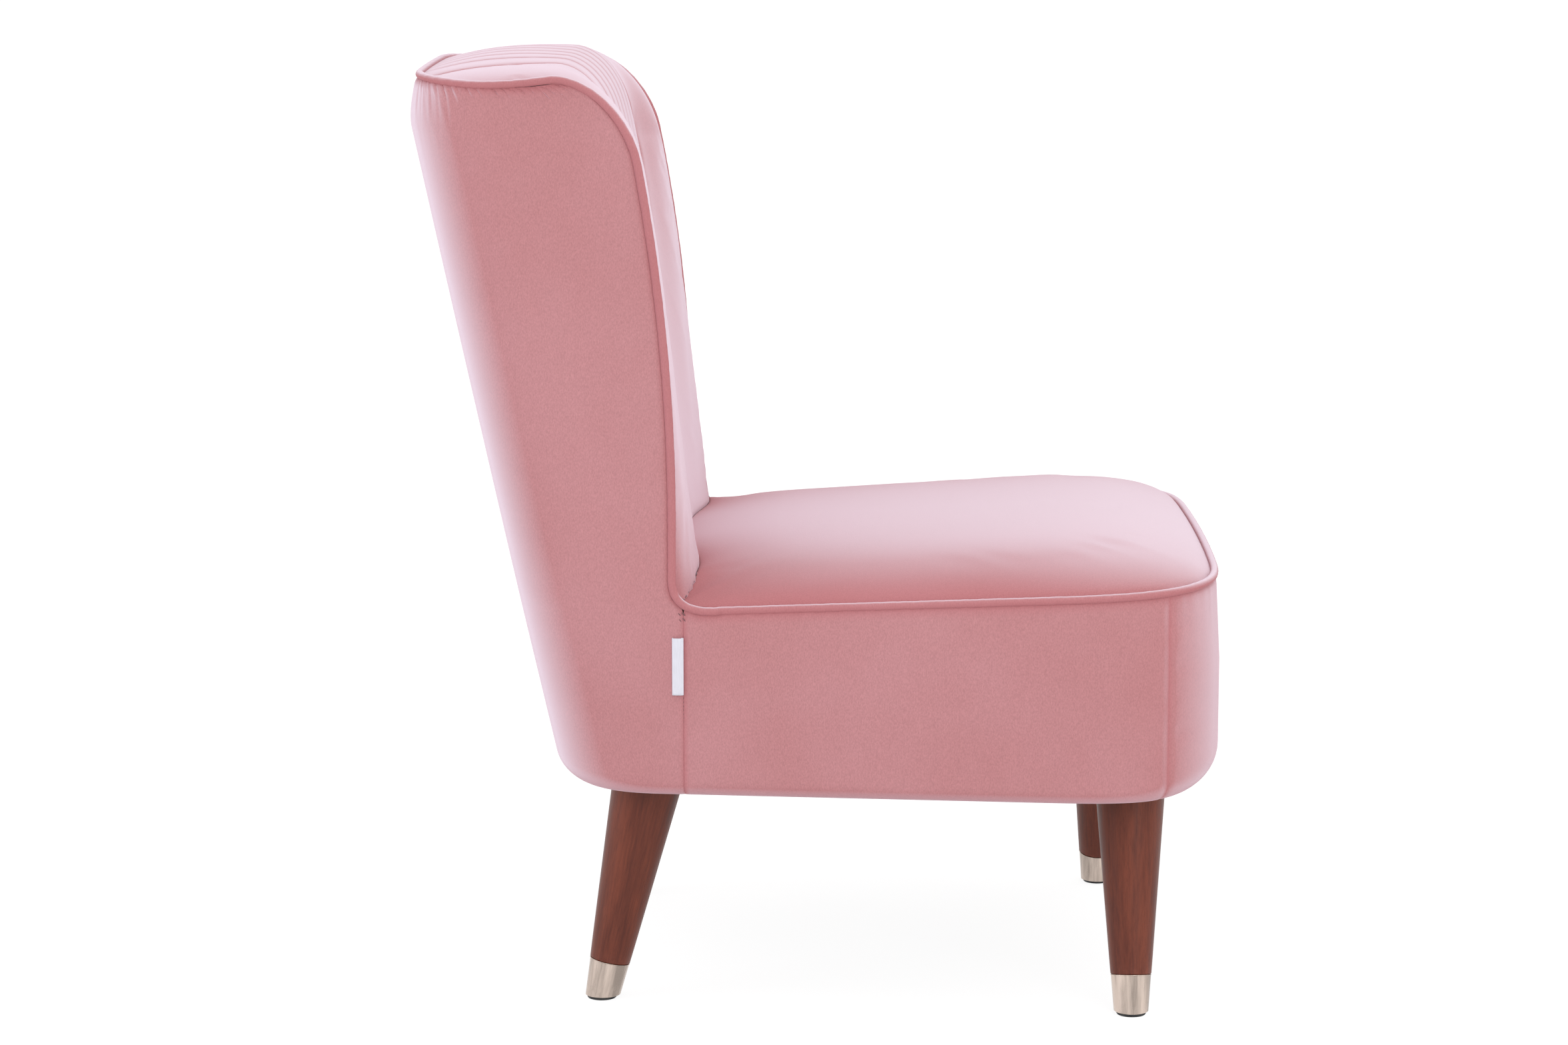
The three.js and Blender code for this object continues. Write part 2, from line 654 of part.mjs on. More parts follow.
function seatPoint(share, row, edge, fineness) {
  const seam = crevice(share, edge);
  const sideEnd = frontLine(frontHalfWidth) - frontCornerReach;
  const rearShare = Math.min(1, row / fineness.side);
  if (row <= fineness.side) {
    const forward = lerp(-seam.y + seamGap, sideEnd, rearShare);
    const across = share * (halfWidth(forward, frontWeltHeight) - edge);
    const dip = clamp(1 - (forward + seam.y) / creviceDipOver, 0, 1) ** 2;
    return place(across, forward, lerp(seatUp(across, forward), seam.z, dip));
  }
  const round = (row - fineness.side) / fineness.corner;
  const end = cornerAt(sides.left, (round * Math.PI) / 2, frontWeltHeight, edge, frontShape);
  const across = share * end.x;
  const bow = (frontLine(across) - frontLine(end.x)) * round;
  return place(across, end.y + bow, seatUp(across, end.y + bow));
}

function seatGrid(edge, fineness) {
  const rows = Array.from({ length: fineness.side + fineness.corner + 1 }, (_, row) => row);
  const shares = steps(fineness.across).map((share) => Math.sin((share - 0.5) * Math.PI));
  return rows.map((row) => shares.map((share) => seatPoint(share, row, edge, fineness)));
}

addPiece("seat_cover", coverOver(seatGrid(belowWelt, seatFineness)), "velvet");

// Inside back

// One point of the back's front and top. Row 0 is the rear top welt and the last row the crevice.
// The depth moves it in from the welt, and fullness scales its crown.
function backPoint(share, row, edge, depth, fullness, fineness) {
  const topRow = fineness.top;
  const bendRow = topRow + fineness.bend;
  const frontRow = bendRow + fineness.front;
  const level = backTop - depth;
  const crown = fullness * topFullness * (1 - Math.abs(share) ** crownPower);
  if (row <= topRow) {
    const back = 1 - row / topRow;
    const rear = rearTopPoint(share, edge);
    const front = share * (halfWidth(bendMiddle, backTop) - edge);
    const forward = lerp(bendMiddle, rear.y, back);
    const sag = (topHeight(forward) - backTop) * share ** 2;
    return place(lerp(front, rear.x, back), forward, level + sag + crown * (1 - back ** topRearPower));
  }
  if (row <= bendRow) {
    const bent = (row - topRow) / fineness.bend;
    const angle = (bent * Math.PI) / 2;
    const out = lerp(crown, fullness * backBulge(share, bendStart), smoothstep(bent, 0, 1));
    const forward = bendForwardAt(Math.cos(angle)) + (topBendDepth - depth + out) * Math.sin(angle);
    const up = bendStart + (topBendHeight - depth + out) * Math.cos(angle);
    const edgeUp = bendStart + topBendHeight * Math.cos(angle);
    return place(share * (halfWidth(forward, edgeUp) - edge), forward, up);
  }
  const down = (row - bendRow) / fineness.front;
  const foot = crevice(share, edge);
  const up = lerp(bendStart, foot.z + foamUnderWelt * (depth > 0 ? 1 : 0), down);
  const turned = row === frontRow ? -seamGap : 0;
  const forward = wingEdge(up) - depth + fullness * backBulge(share, up) + turned;
  return place(share * (halfWidth(forward, up) - edge), forward, up);
}

// Along the rear top welt: a share of the half width, then round the corner.
function rearTopPoint(share, edge) {
  const corner = cornerAngles.map((angle) => cornerAt(sides.left, angle, backTop, edge, rearShape));
  const reach = corner[corner.length - 1].x;
  const bow = steps(bowStepCount).slice(1).map((past) => {
    const across = lerp(reach, 0, past);
    return new THREE.Vector2(across, rearLine(across, backTop) + edge);
  });
  const half = [...corner, ...bow];
  const flat = halfWidth(bendMiddle, backTop) * fluteTopShare;
  const outer = half.filter((point) => point.x >= flat);
  const across = Math.min(1, Math.abs(share) / fluteTopShare) * outer[outer.length - 1].x;
  const pleated = new THREE.Vector2(across, lineForwardAt(half, across));
  const swept = spaced([...outer].reverse(), curveSampleCount);
  const past = (Math.abs(share) - fluteTopShare) / (1 - fluteTopShare);
  const found = past <= 0 ? pleated : swept[Math.round(past * curveSampleCount)];
  return new THREE.Vector2(Math.sign(share) * found.x, found.y);
}

// Shares of the half width at which the cover's columns lie: pleats in the middle, then margins.
function pleatShares(row) {
  const topAndBend = backFineness.top + backFineness.bend;
  const down = clamp((row - topAndBend) / backFineness.front, 0, 1);
  const spread = lerp(fluteTopShare, fluteBottomShare, down);
  const perSide = (fluteCount * backFineness.flute) / 2;
  const inner = steps(2 * perSide).map((share) => (2 * share - 1) * spread);
  const outer = steps(backFineness.margin).slice(1).map((share) => lerp(spread, 1, share));
  return [...outer.map((share) => -share).reverse(), ...inner, ...outer];
}

// Depth of the pleats at a column: sewn in at every fourth column, full between.
function pleatDepth(column, row, lastRow) {
  const first = backFineness.margin;
  const count = fluteCount * backFineness.flute;
  if (column < first || column > first + count) return 0;
  const phase = (column - first) % backFineness.flute;
  const shape = pleatShape[phase];
  const fading = Math.min(1, (2 * Math.min(row, lastRow - row)) / backFineness.top);
  return fluteDepth * shape * fading;
}

const backRowCount = backFineness.top + backFineness.bend + backFineness.front;
const backCoverGrid = Array.from({ length: backRowCount + 1 }, (_, row) =>
  pleatShares(row).map((share, column) => {
    const depth = pleatDepth(column, row, backRowCount);
    return backPoint(share, row, belowWelt, depth, 1, backFineness);
  }),
);
addPiece("inside_back_cover", coverOver(backCoverGrid), "velvet");

const backFoamRows = backFoamFineness.top + backFoamFineness.bend + backFoamFineness.front;
const backFoamGrid = (depth, fullness) =>
  Array.from({ length: backFoamRows + 1 }, (_, row) =>
    backFoamShares.map((share) => backPoint(share, row, foamEdge, depth, fullness, backFoamFineness)),
  );
addPiece("back_foam", solidBetween(backFoamGrid(backFoamSink, 1), backFoamGrid(backFoamDepth, 0)), "foam");

// Seat foam: its edge lies under the welt, its middle under the crowned cover
const springTop = railTop + stripThickness + 2 * (fitGap + springRadius) + springArch;
const deckBottom = springTop + fitGap;
const seatFoamBottom = deckBottom + deckThickness + fitGap;
const seatFoamTop = sunk(seatGrid(foamEdge, seatFoamFineness), coverThickness + crownGap);
const lastFoamRow = seatFoamTop.length - 1;
seatFoamTop.forEach((row, i) => {
  row.forEach((point, j) => {
    const onEdge = j === 0 || j === row.length - 1 || i === lastFoamRow;
    if (onEdge) point.z = Math.min(point.z, weltHeight(-point.y) - foamUnderWelt);
  });
});
const seatFoamBase = seatFoamTop.map((row) => row.map((point) => point.clone().setZ(seatFoamBottom)));
addPiece("seat_foam", solidBetween(seatFoamTop, seatFoamBase), "foam");

// Padding round the seat frame: it fills the rolled edge, so that its inner face is upright
const wallInset = (normal) => wrapRollShare * rollAt(normal) + wrapWall;
const wrapDrops = [...steps(1), ...rollDrops.slice(0, -1)];
const wrapTop = () => deckBottom - fitGap;
const borderParts = [
  { pathAt: sideBorderPath(sides.right), columns: sideColumnCount },
  { pathAt: frontBorderPath, columns: frontColumnCount },
  { pathAt: sideBorderPath(sides.left), columns: sideColumnCount },
];
const wrapOuter = wrapDrops.map((drop) =>
  borderParts.flatMap(({ pathAt, columns }) =>
    steps(columns).map((share) => borderPoint(pathAt, share, wrapTop, drop)),
  ),
);
const wrapFeet = borderParts.flatMap(({ pathAt, columns }) =>
  steps(columns).map((share) => pickOn(pathAt, share, underside)),
);
const seatWrap = sunk(wrapOuter, coverThickness + layerGap);
const seatWrapInner = seatWrap.map((row) =>
  row.map((outer, j) => {
    const { point, normal } = wrapFeet[j];
    const inset = wallInset(normal);
    return place(point.x - normal.x * inset, point.y - normal.y * inset, outer.z);
  }),
);
addPiece("seat_wrap_padding", solidBetween(seatWrap, seatWrapInner), "foam");

const paddingTop = () => backTop - backFoamDepth - topDip - paddingGap;
const paddingDropTo = (up) => (paddingTop() - up) / (paddingTop() - underside - sideRoll);
const paddingDrops = [
  ...paddingShares.map((share) => share * paddingDropTo(coverTurnTop - backFoamDepth)),
  paddingDropTo(weltTurnBottom - backFoamDepth),
  1,
];
const outsidePadding = sunk(
  borderGrid(outsidePaddingPath, paddingColumnCount, paddingTop, paddingDrops),
  coverThickness + crownGap,
);
addPiece("outside_back_padding", solidBetween(outsidePadding, sunk(outsidePadding, paddingThickness)), "foam");

// Welt: one loop round the seat, up each side of the back and over its top

function weltRing() {
  const ring = [];
  const addPlan = (path, count, heightAt) => {
    const even = spaced(path, curveSampleCount);
    const normals = planNormals(even);
    for (const share of steps(count)) {
      const index = Math.round(share * curveSampleCount);
      const { x, y } = even[index];
      const out = place(normals[index].x, normals[index].y, 0);
      ring.push({ point: place(x, y, heightAt(y)), out });
    }
  };
  const addEdge = (side, forward, up) => {
    const out = new THREE.Vector3(side, 0, 0);
    ring.push({ point: place(side * halfWidth(forward, up), forward, up), out });
  };
  const turnCorner = new THREE.Vector2(wingForwardAt(weltTurnBottom), weltTurnBottom);
  const turn = new THREE.QuadraticBezierCurve(
    new THREE.Vector2(weltTurnForward, weltHeight(weltTurnForward)),
    turnCorner,
    new THREE.Vector2(wingForwardAt(weltTurnHeight), weltTurnHeight),
  );
  const wing = steps(weltSteps.wing).map((share) => lerp(weltTurnHeight, bendStart, share));
  const bend = steps(weltSteps.bend).slice(1, -1).map((share) => (share * Math.PI) / 2);
  const upTheSide = (side) => {
    const points = [
      ...turn.getPoints(weltSteps.turn).slice(1, -1),
      ...wing.map((up) => new THREE.Vector2(wingForwardAt(up), up)),
      ...bend.map((angle) => {
        const up = bendStart + topBendHeight * Math.sin(angle);
        return new THREE.Vector2(wingEdge(up), up);
      }),
    ];
    const ordered = side > 0 ? points : points.reverse();
    for (const point of ordered) addEdge(side, point.x, point.y);
  };
  addPlan(endPath(frontShape, frontWeltHeight, weltTurnForward), weltSteps.seat, weltHeight);
  upTheSide(sides.left);
  addPlan(endPath(rearShape, backTop, bendMiddle), weltSteps.top, topHeight);
  upTheSide(sides.right);
  return ring;
}

addPiece("welt", closedTube(weltRing(), weltRadius, weltSideCount), "velvet");

// Seat frame: upright boards that follow the padding, with a block in each corner

const railBottom = underside + coverThickness + 2 * fitGap + railLift;
const railHeight = railTop - railBottom;

// The line that lies some way inside the padding's inner face, in plan.
const insideOf = (feet, inset) =>
  feet.map(({ point, normal }) => point.clone().addScaledVector(normal, -(wallInset(normal) + fitGap + inset)));

const rearFeet = steps(2 * roundSideCount).map((share) => pickOn(rearRailPath, share, underside));
const sideRailFront = frontForward - sideRailFromFront;
const sideRailRear = rearForward + sideRailFromRear;
const frontCut = (inset) => keepForward(insideOf(wrapFeet, inset), sideRailFront + fitGap);
const rearCut = (inset) => keepBehind(insideOf(rearFeet, inset), sideRailRear - fitGap);
const sideCut = (side) => (inset) => {
  const half = insideOf(wrapFeet, inset).filter((point) => point.x * side > 0);
  return keepBehind(keepForward(half, sideRailRear), sideRailFront);
};

function addRail(name, cutAt) {
  const outline = [...cutAt(0), ...cutAt(railThickness).reverse()];
  addPiece(name, extrudeUp(outline, railBottom, railHeight), "frameWood");
}

addRail("seat_front_rail", frontCut);
addRail("seat_rear_rail", rearCut);
addRail("seat_side_rail_left", sideCut(sides.left));
addRail("seat_side_rail_right", sideCut(sides.right));

// Legs with their fixings, each in a group that is tilted about its foot

const legTopUp = underside - 2 * fitGap - dustCoverThickness;
const blockBottom = railBottom;
const blockTop = blockBottom + blockHeight;
const footAt = ({ fromSide, splay, rake }, forward, side) => {
  const across = halfWidth(forward, underside) - fromSide;
  return { across, forward, splay, rake, side, isFront: forward > 0 };
};
const frontFootForward = frontForward - frontFoot.fromEnd;
const rearFootForward = rearMiddle(underside) + rearFoot.fromEnd;
const feet = {
  front_left: footAt(frontFoot, frontFootForward, sides.left),
  front_right: footAt(frontFoot, frontFootForward, sides.right),
  rear_left: footAt(rearFoot, rearFootForward, sides.left),
  rear_right: footAt(rearFoot, rearFootForward, sides.right),
};

// Axis of a leg, up from its foot: its splay and rake are the angles that the two views show.
function legAxis({ side, splay, rake }) {
  const inwards = -side * Math.tan(degToRad(splay));
  const forward = Math.tan(degToRad(rake));
  return place(inwards, forward, 1).normalize();
}

const alongLeg = (foot, geometry) => {
  const tilt = new THREE.Quaternion().setFromUnitVectors(new THREE.Vector3(0, 0, 1), legAxis(foot));
  const origin = place(foot.side * foot.across, foot.forward, 0);
  return geometry.clone().applyQuaternion(tilt).translate(origin.x, origin.y, origin.z);
};

const turned = (profile, sideCount = roundSideCount) => {
  const points = profile.map(([radius, along]) => new THREE.Vector2(radius, along));
  return new THREE.LatheGeometry(points, sideCount).rotateX(Math.PI / 2);
};

// What lies between two heights of a solid.
function between(solid, low, high) {
  const wide = 2 * frontHalfWidth;
  const slab = new THREE.BoxGeometry(2 * wide, 2 * wide, high - low).translate(0, 0, (low + high) / 2);
  return solid.intersect(toSolid(slab));
}

const upright = (foot, up) => up / legAxis(foot).z;

for (const [name, foot] of Object.entries(feet)) {
  const top = upright(foot, legTopUp);
  const over = 2 * legTopRadius;
  const ferruleTop = glideHeight + ferruleHeight;
  const taper = (legTopRadius - ferruleTopRadius) / (top - ferruleTop);
  const stemGap = ferruleWall + fitGap;
  const footTaper = (ferruleTopRadius - footRadius) / ferruleHeight;
  const stemBottomRadius = footRadius - stemGap - footTaper * glideRadius;
  const boltFoot = top - boltIntoLeg;
  const leg = turned([
    [0, -glideRadius],
    [stemBottomRadius, -glideRadius],
    [ferruleTopRadius - stemGap, ferruleTop - fitGap],
    [ferruleTopRadius - stemGap, ferruleTop + fitGap],
    [ferruleTopRadius, ferruleTop + fitGap],
    [legTopRadius + taper * over, top + over],
    [boltRadius + fitGap, top + over],
    [boltRadius + fitGap, boltFoot - fitGap],
    [0, boltFoot - fitGap],
  ]);
  const legSolid = between(toSolid(alongLeg(foot, leg)), glideHeight + fitGap, legTopUp);
  addPiece("leg_" + name, toGeometry(legSolid), "legWood");

  const lowRadius = footRadius - footTaper * glideRadius;
  const ferrule = turned([
    [lowRadius - ferruleWall, -glideRadius],
    [lowRadius, -glideRadius],
    [ferruleTopRadius, ferruleTop],
    [ferruleTopRadius - ferruleWall, ferruleTop],
    [lowRadius - ferruleWall, -glideRadius],
  ]);
  const ferruleSolid = between(toSolid(alongLeg(foot, ferrule)), glideHeight + fitGap, 2 * ferruleTop);
  addPiece("ferrule_" + name, toGeometry(ferruleSolid), "ferrule");

  const glide = turned([
    [0, 0],
    [glideRadius - glideEdge, 0],
    [glideRadius, glideEdge],
    [glideRadius, glideHeight],
    [0, glideHeight],
  ]);
  const at = place(foot.side * foot.across, foot.forward, 0);
  addPiece("glide_" + name, glide, "glide").position.copy(at);

  const flangeAt = upright(foot, blockTop) - teeNutSeat;
  const bolt = turned(
    [
      [0, boltFoot],
      [boltRadius, boltFoot],
      [boltRadius, flangeAt + teeNutFlange],
      [0, flangeAt + teeNutFlange],
  ],
    fixingSideCount,
  );
  addPiece("hanger_bolt_" + name, alongLeg(foot, bolt), "steel");

  const teeNut = turned(
    [
      [boltRadius + fitGap, flangeAt - teeNutBarrel],
      [teeNutBarrelRadius, flangeAt - teeNutBarrel],
      [teeNutBarrelRadius, flangeAt],
      [teeNutFlangeRadius, flangeAt],
      [teeNutFlangeRadius, flangeAt + teeNutFlange],
      [boltRadius + fitGap, flangeAt + teeNutFlange],
      [boltRadius + fitGap, flangeAt - teeNutBarrel],
  ],
    fixingSideCount,
  );
  addPiece("tee_nut_" + name, alongLeg(foot, teeNut), "steel");

  const bore = turned([
    [0, 0],
    [teeNutBarrelRadius + fitGap, 0],
    [teeNutBarrelRadius + fitGap, flangeAt - fitGap],
    [teeNutFlangeRadius + fitGap, flangeAt - fitGap],
    [teeNutFlangeRadius + fitGap, flangeAt + over],
    [0, flangeAt + over],
  ]);
  const leastAcross = frontHalfWidth - (foot.isFront ? frontBlockInset : rearBlockInset);
  const cut = foot.isFront ? frontCut : rearCut;
  const corner = cut(railThickness + fitGap).filter((point) => point.x * foot.side >= leastAcross);
  const block = toSolid(extrudeUp(corner, blockBottom, blockHeight));
  addPiece("corner_block_" + name, toGeometry(block.subtract(toSolid(alongLeg(foot, bore)))), "frameWood");
}

// Dust cover, with a hole for each leg's bolt

const dustOutline = [...wrapFeet, ...rearFeet.slice(1, -1)].map(({ point, normal }) =>
  point.clone().addScaledVector(normal, -(rollAt(normal) + dustCoverLap)),
);
const dustBottom = underside - fitGap - dustCoverThickness;
const boltHoles = Object.values(feet).map((foot) => {
  const axis = legAxis(foot);
  const along = dustBottom / axis.z;
  return {
    x: foot.side * foot.across + axis.x * along,
    y: foot.forward - axis.y * along,
    radius: boltHoleRadius,
  };
});
addPiece("dust_cover", extrudeUp(dustOutline, dustBottom, dustCoverThickness, boltHoles), "lining");

// Springs on strips, and the deck pad over them

const stripHalfLengths = { front: frontHalfWidth - frontStripInset, rear: frontHalfWidth - rearStripInset };
const stripForwards = {
  front: lineForwardAt(frontCut(railThickness / 2), stripHalfLengths.front),
  rear: lineForwardAt(rearCut(railThickness / 2), stripHalfLengths.rear),
};
for (const [name, forward] of Object.entries(stripForwards)) {
  const strip = rectangleAt(0, forward, railTop + fitGap, 2 * stripHalfLengths[name], stripWidth);
  const top = strip.map((point) => point.clone().setZ(railTop + fitGap + stripThickness));
  addPiece("spring_strip_" + name, prismBetween(strip, top), "steel");
}

// A flat zigzag wire with rounded bends, arched upwards between its ends.
class SpringLine extends THREE.Curve {
  constructor(across) {
    super();
    this.across = across;
  }

  getPoint(share, target = new THREE.Vector3()) {
    const widening = Math.sin(share * Math.PI) ** springEndPower;
    const swing = Math.sin(share * springTurnCount * Math.PI) * widening;
    const forward = lerp(stripForwards.front, stripForwards.rear, share);
    const low = springTop - springArch - springRadius;
    const up = low + springArch * Math.sin(share * Math.PI);
    return target.copy(place(this.across + springHalfWidth * swing, forward, up));
  }
}

const outerSpring = stripHalfLengths.rear - springFromStripEnd;
for (let i = 0; i < springCount; i++) {
  const across = lerp(-outerSpring, outerSpring, i / (springCount - 1));
  const section = new THREE.Shape();
  section.absarc(0, 0, springRadius, 0, 2 * Math.PI);
  const wire = new THREE.ExtrudeGeometry(section, {
    steps: springTurnCount * springStepCount,
    curveSegments: springSideCount / 2,
    bevelEnabled: false,
    extrudePath: new SpringLine(across),
  });
  addPiece("seat_spring_" + (i + 1), wire, "steel");
}

const deckOutline = keepForward(insideOf(wrapFeet, deckInset), rearSeamForward + deckFromRearSeam);
addPiece("deck_pad", extrudeUp(deckOutline, deckBottom, deckThickness), "felt");

// Back frame: rear posts and front uprights, joined across and along the sides

const standing = railTop + fitGap;
const postTop = backTop - postBelowTop;
const uprightTop = backTop - uprightBelowTop;
const boxAround = (middle, width, depth) => rectangleAt(middle.x, -middle.y, middle.z, width, depth);

// Middle of a straight member at a height, from its places at its foot and its top.
const member = (inset, forwardAt, top) => (side, up) => {
  const ends = [standing, top].map((height) => {
    const forward = forwardAt(height);
    return place(side * (halfWidth(forward, height) - inset), forward, height);
  });
  return ends[0].lerp(ends[1], (up - standing) / (top - standing));
};
const postAt = member(postInset, (up) => rearMiddle(up) + postFromRear, postTop);
const behindWelt = (up) => lerp(uprightFootFromWelt, uprightFromWelt, (up - standing) / (uprightTop - standing));
const uprightAt = member(uprightInset, (up) => wingForwardAt(up) - behindWelt(up), uprightTop);

for (const [name, side] of Object.entries(sides)) {
  const postEnds = [standing, postTop].map((up) => boxAround(postAt(side, up), postWidth, postDepth));
  addPiece("back_post_" + name, prismBetween(...postEnds), "frameWood");
  const ends = [standing, uprightTop].map((up) => boxAround(uprightAt(side, up), uprightWidth, uprightDepth));
  addPiece("back_upright_" + name, prismBetween(...ends), "frameWood");
}

// A rail across the back, between two posts that are described by where they stand at a height.
function addCrossRail(name, middleAt, width, bottom, height) {
  const section = (up) => {
    const middle = middleAt(sides.left, up);
    const length = 2 * (middle.x - width / 2 - fitGap);
    return rectangleAt(0, -middle.y, up, length, backRailThickness);
  };
  const leaning = section(bottom + height);
  const foot = section(bottom);
  const shorter = Math.min(leaning[1].x, foot[1].x);
  const trim = (points) => points.map((point) => point.clone().setX(Math.sign(point.x) * shorter));
  addPiece(name, prismBetween(trim(foot), trim(leaning)), "frameWood");
}

addCrossRail("back_top_rail", postAt, postWidth, postTop - topRailHeight, topRailHeight);
addCrossRail("back_low_rail", uprightAt, uprightWidth, lowRailBottom, lowRailHeight);

for (const [name, side] of Object.entries(sides)) {
  const section = (up) => {
    const front = uprightAt(side, up);
    const rear = postAt(side, up);
    const frontFace = -front.y - uprightDepth / 2 - fitGap;
    const rearFace = -rear.y + postDepth / 2 + fitGap;
    const inside = (x) => x - (side * stretcherWidth) / 2;
    const outside = (x) => x + (side * stretcherWidth) / 2;
    return [
      place(outside(front.x), frontFace, up),
      place(inside(front.x), frontFace, up),
      place(inside(rear.x), rearFace, up),
      place(outside(rear.x), rearFace, up),
    ];
  };
  const stretcher = prismBetween(section(uprightTop - stretcherHeight), section(uprightTop));
  addPiece("back_stretcher_" + name, stretcher, "frameWood");
}

// Webs across the front of the uprights, behind the foam
for (let i = 0; i < webbingCount; i++) {
  const share = (i + 0.5) / webbingCount;
  const middle = lerp(lowRailBottom + lowRailHeight, uprightTop - stretcherHeight, share);
  const section = (up) => {
    const upright = uprightAt(sides.left, up);
    const face = -upright.y + uprightDepth / 2 + fitGap + webbingThickness / 2;
    const width = 2 * (upright.x + uprightWidth / 2);
    return rectangleAt(0, face, up, width, webbingThickness);
  };
  const web = prismBetween(section(middle - webbingHeight / 2), section(middle + webbingHeight / 2));
  addPiece("back_web_" + (i + 1), web, "lining");
}

// Blank label: a folded loop in the rear seam of the right side

const labelTurn = Math.atan(widthLostToRear / widthLostOver);
const labelOutline = (inset) => {
  const shape = new THREE.Shape();
  const radius = labelThickness / 2 - inset;
  shape.absarc(-labelWidth + labelThickness / 2, 0, radius, Math.PI / 2, -Math.PI / 2);
  shape.absarc(-labelThickness / 2, 0, radius, -Math.PI / 2, Math.PI / 2);
  return shape;
};
const labelShape = labelOutline(0);
labelShape.holes.push(new THREE.Path(labelOutline(labelWall).getPoints(roundSideCount / 4).reverse()));
const labelSettings = { depth: labelHeight, bevelEnabled: false, curveSegments: roundSideCount / 4 };
const label = new THREE.ExtrudeGeometry(labelShape, labelSettings);
const labelGroup = new THREE.Group();
const labelOff = halfWidth(rearSeamForward, labelBottom) + labelThickness / 2 + 2 * fitGap;
labelGroup.position.copy(place(-labelOff, rearSeamForward, labelBottom));
labelGroup.rotation.z = -Math.PI / 2 - labelTurn;
chair.add(labelGroup);
addPiece("label", label, "satin", labelGroup);

// The chair stands with the middle of its outer box over the origin.
chair.updateMatrixWorld(true);
const box = new THREE.Box3().setFromObject(chair);
const middle = box.getCenter(new THREE.Vector3());
chair.position.set(-middle.x, -middle.y, -box.min.z);
const model = new THREE.Group();
model.add(chair);

export default model;
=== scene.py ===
"""Looks of an armless slipper chair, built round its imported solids: velvet covers with a pleated
back, piping and stitching, turned wooden legs with metal ferrules, and a plain studio stage.

Shapes are worked out as across, forward and up, in metres: across is +X, to the sitter's left,
forward is -Y and up is +Z."""

import math

import bmesh
import bpy
import numpy as np
from mathutils import Matrix, Vector


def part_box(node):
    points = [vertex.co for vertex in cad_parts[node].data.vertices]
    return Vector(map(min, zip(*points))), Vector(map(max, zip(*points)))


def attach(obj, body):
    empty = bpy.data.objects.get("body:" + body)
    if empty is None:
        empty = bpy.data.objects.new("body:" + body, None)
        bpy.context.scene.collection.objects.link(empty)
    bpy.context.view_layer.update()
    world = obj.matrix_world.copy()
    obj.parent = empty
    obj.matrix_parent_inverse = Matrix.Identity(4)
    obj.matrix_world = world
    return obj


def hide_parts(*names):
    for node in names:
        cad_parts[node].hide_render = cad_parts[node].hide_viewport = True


bl_info = {
    "name": "Slipper chair looks",
    "version": (1, 0, 0),
    "blender": (4, 5, 0),
    "location": "View3D > Sidebar > Chair",
    "description": "Covers, pleats, piping, stitching and finishes of an armless slipper chair",
    "category": "Add Mesh",
}

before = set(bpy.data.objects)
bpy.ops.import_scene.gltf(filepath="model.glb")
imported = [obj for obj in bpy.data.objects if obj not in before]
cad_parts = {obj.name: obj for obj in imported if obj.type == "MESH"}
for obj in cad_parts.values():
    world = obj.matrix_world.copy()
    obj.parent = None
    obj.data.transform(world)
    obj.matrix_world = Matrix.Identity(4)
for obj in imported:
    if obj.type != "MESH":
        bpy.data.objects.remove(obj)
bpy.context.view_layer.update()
BODY = "root"

# Sizes of the body, as in the solids. The covers differ a little in BORDER_RISE and
# BORDER_RISE_FORWARD, which close them to the welt's turn, in CREVICE_DIP_OVER, how far forward
# the seat dips, and in CROWN_FALL, how far the crown of the back falls to the front.

# Plan outline of the seat
FRONT_FORWARD = 0.352
FRONT_HALF_WIDTH = 0.304
FRONT_BOW = 0.009
FRONT_CORNER_REACH = 0.160
FRONT_CORNER_POWER = 3.15
TAPER = 0.0556 / 0.585
FRONT_SEAM = 0.301
REAR_SEAM = -0.114

# Heights of the seat and of its welt
UNDERSIDE = 0.203
FRONT_WELT_HEIGHT = 0.3875
WELT_SLOPE = 0.023 / 0.457
BACK_TOP = 0.8165

# Side view of the back
WING_FORWARD = -0.1245
WING_LEAN_START = 0.440
WING_LEAN = 0.0327
WING_LEAN_OVER = 0.323
BEND_DEPTH = 0.058
BEND_HEIGHT = 0.073
TOP_DIP = 0.005
TURN_FORWARD = -0.084
TURN_HEIGHT = 0.392
TURN_DROP = 0.002
BORDER_RISE = 0.0045
BORDER_RISE_FORWARD = -0.098
COVER_TURN = 0.017
REAR_FORWARD = -0.2355
REAR_HEIGHT = 0.244
REAR_SLOPE = 0.122 / 0.537
REAR_BOW = 0.008
REAR_CORNER_REACH = 0.088
REAR_CORNER_POWER = 2.5
REAR_TUCK = 0.016
REAR_TUCK_OVER = 0.045
REAR_TUCK_POWER = 1.5
LEAN_START = 0.330
LEAN = 0.046
LEAN_SOFTENING = 0.080

# Rolled bottom edge of the covers
FRONT_ROLL = 0.033
SIDE_ROLL = 0.012
REAR_ROLL = 0.022
FRONT_FULLNESS = 0.004
TURN_UNDER = 0.012

# Crown of the seat and the line where it meets the back
SHOULDER_POWER = 3.6
SHOULDER_ROOT = 1.8
CREVICE_HEIGHT = 0.393
CREVICE_DROP = 0.004
CREVICE_DIP_OVER = 0.085
CREVICE_END = 0.79
CREVICE_END_RISE = 0.007

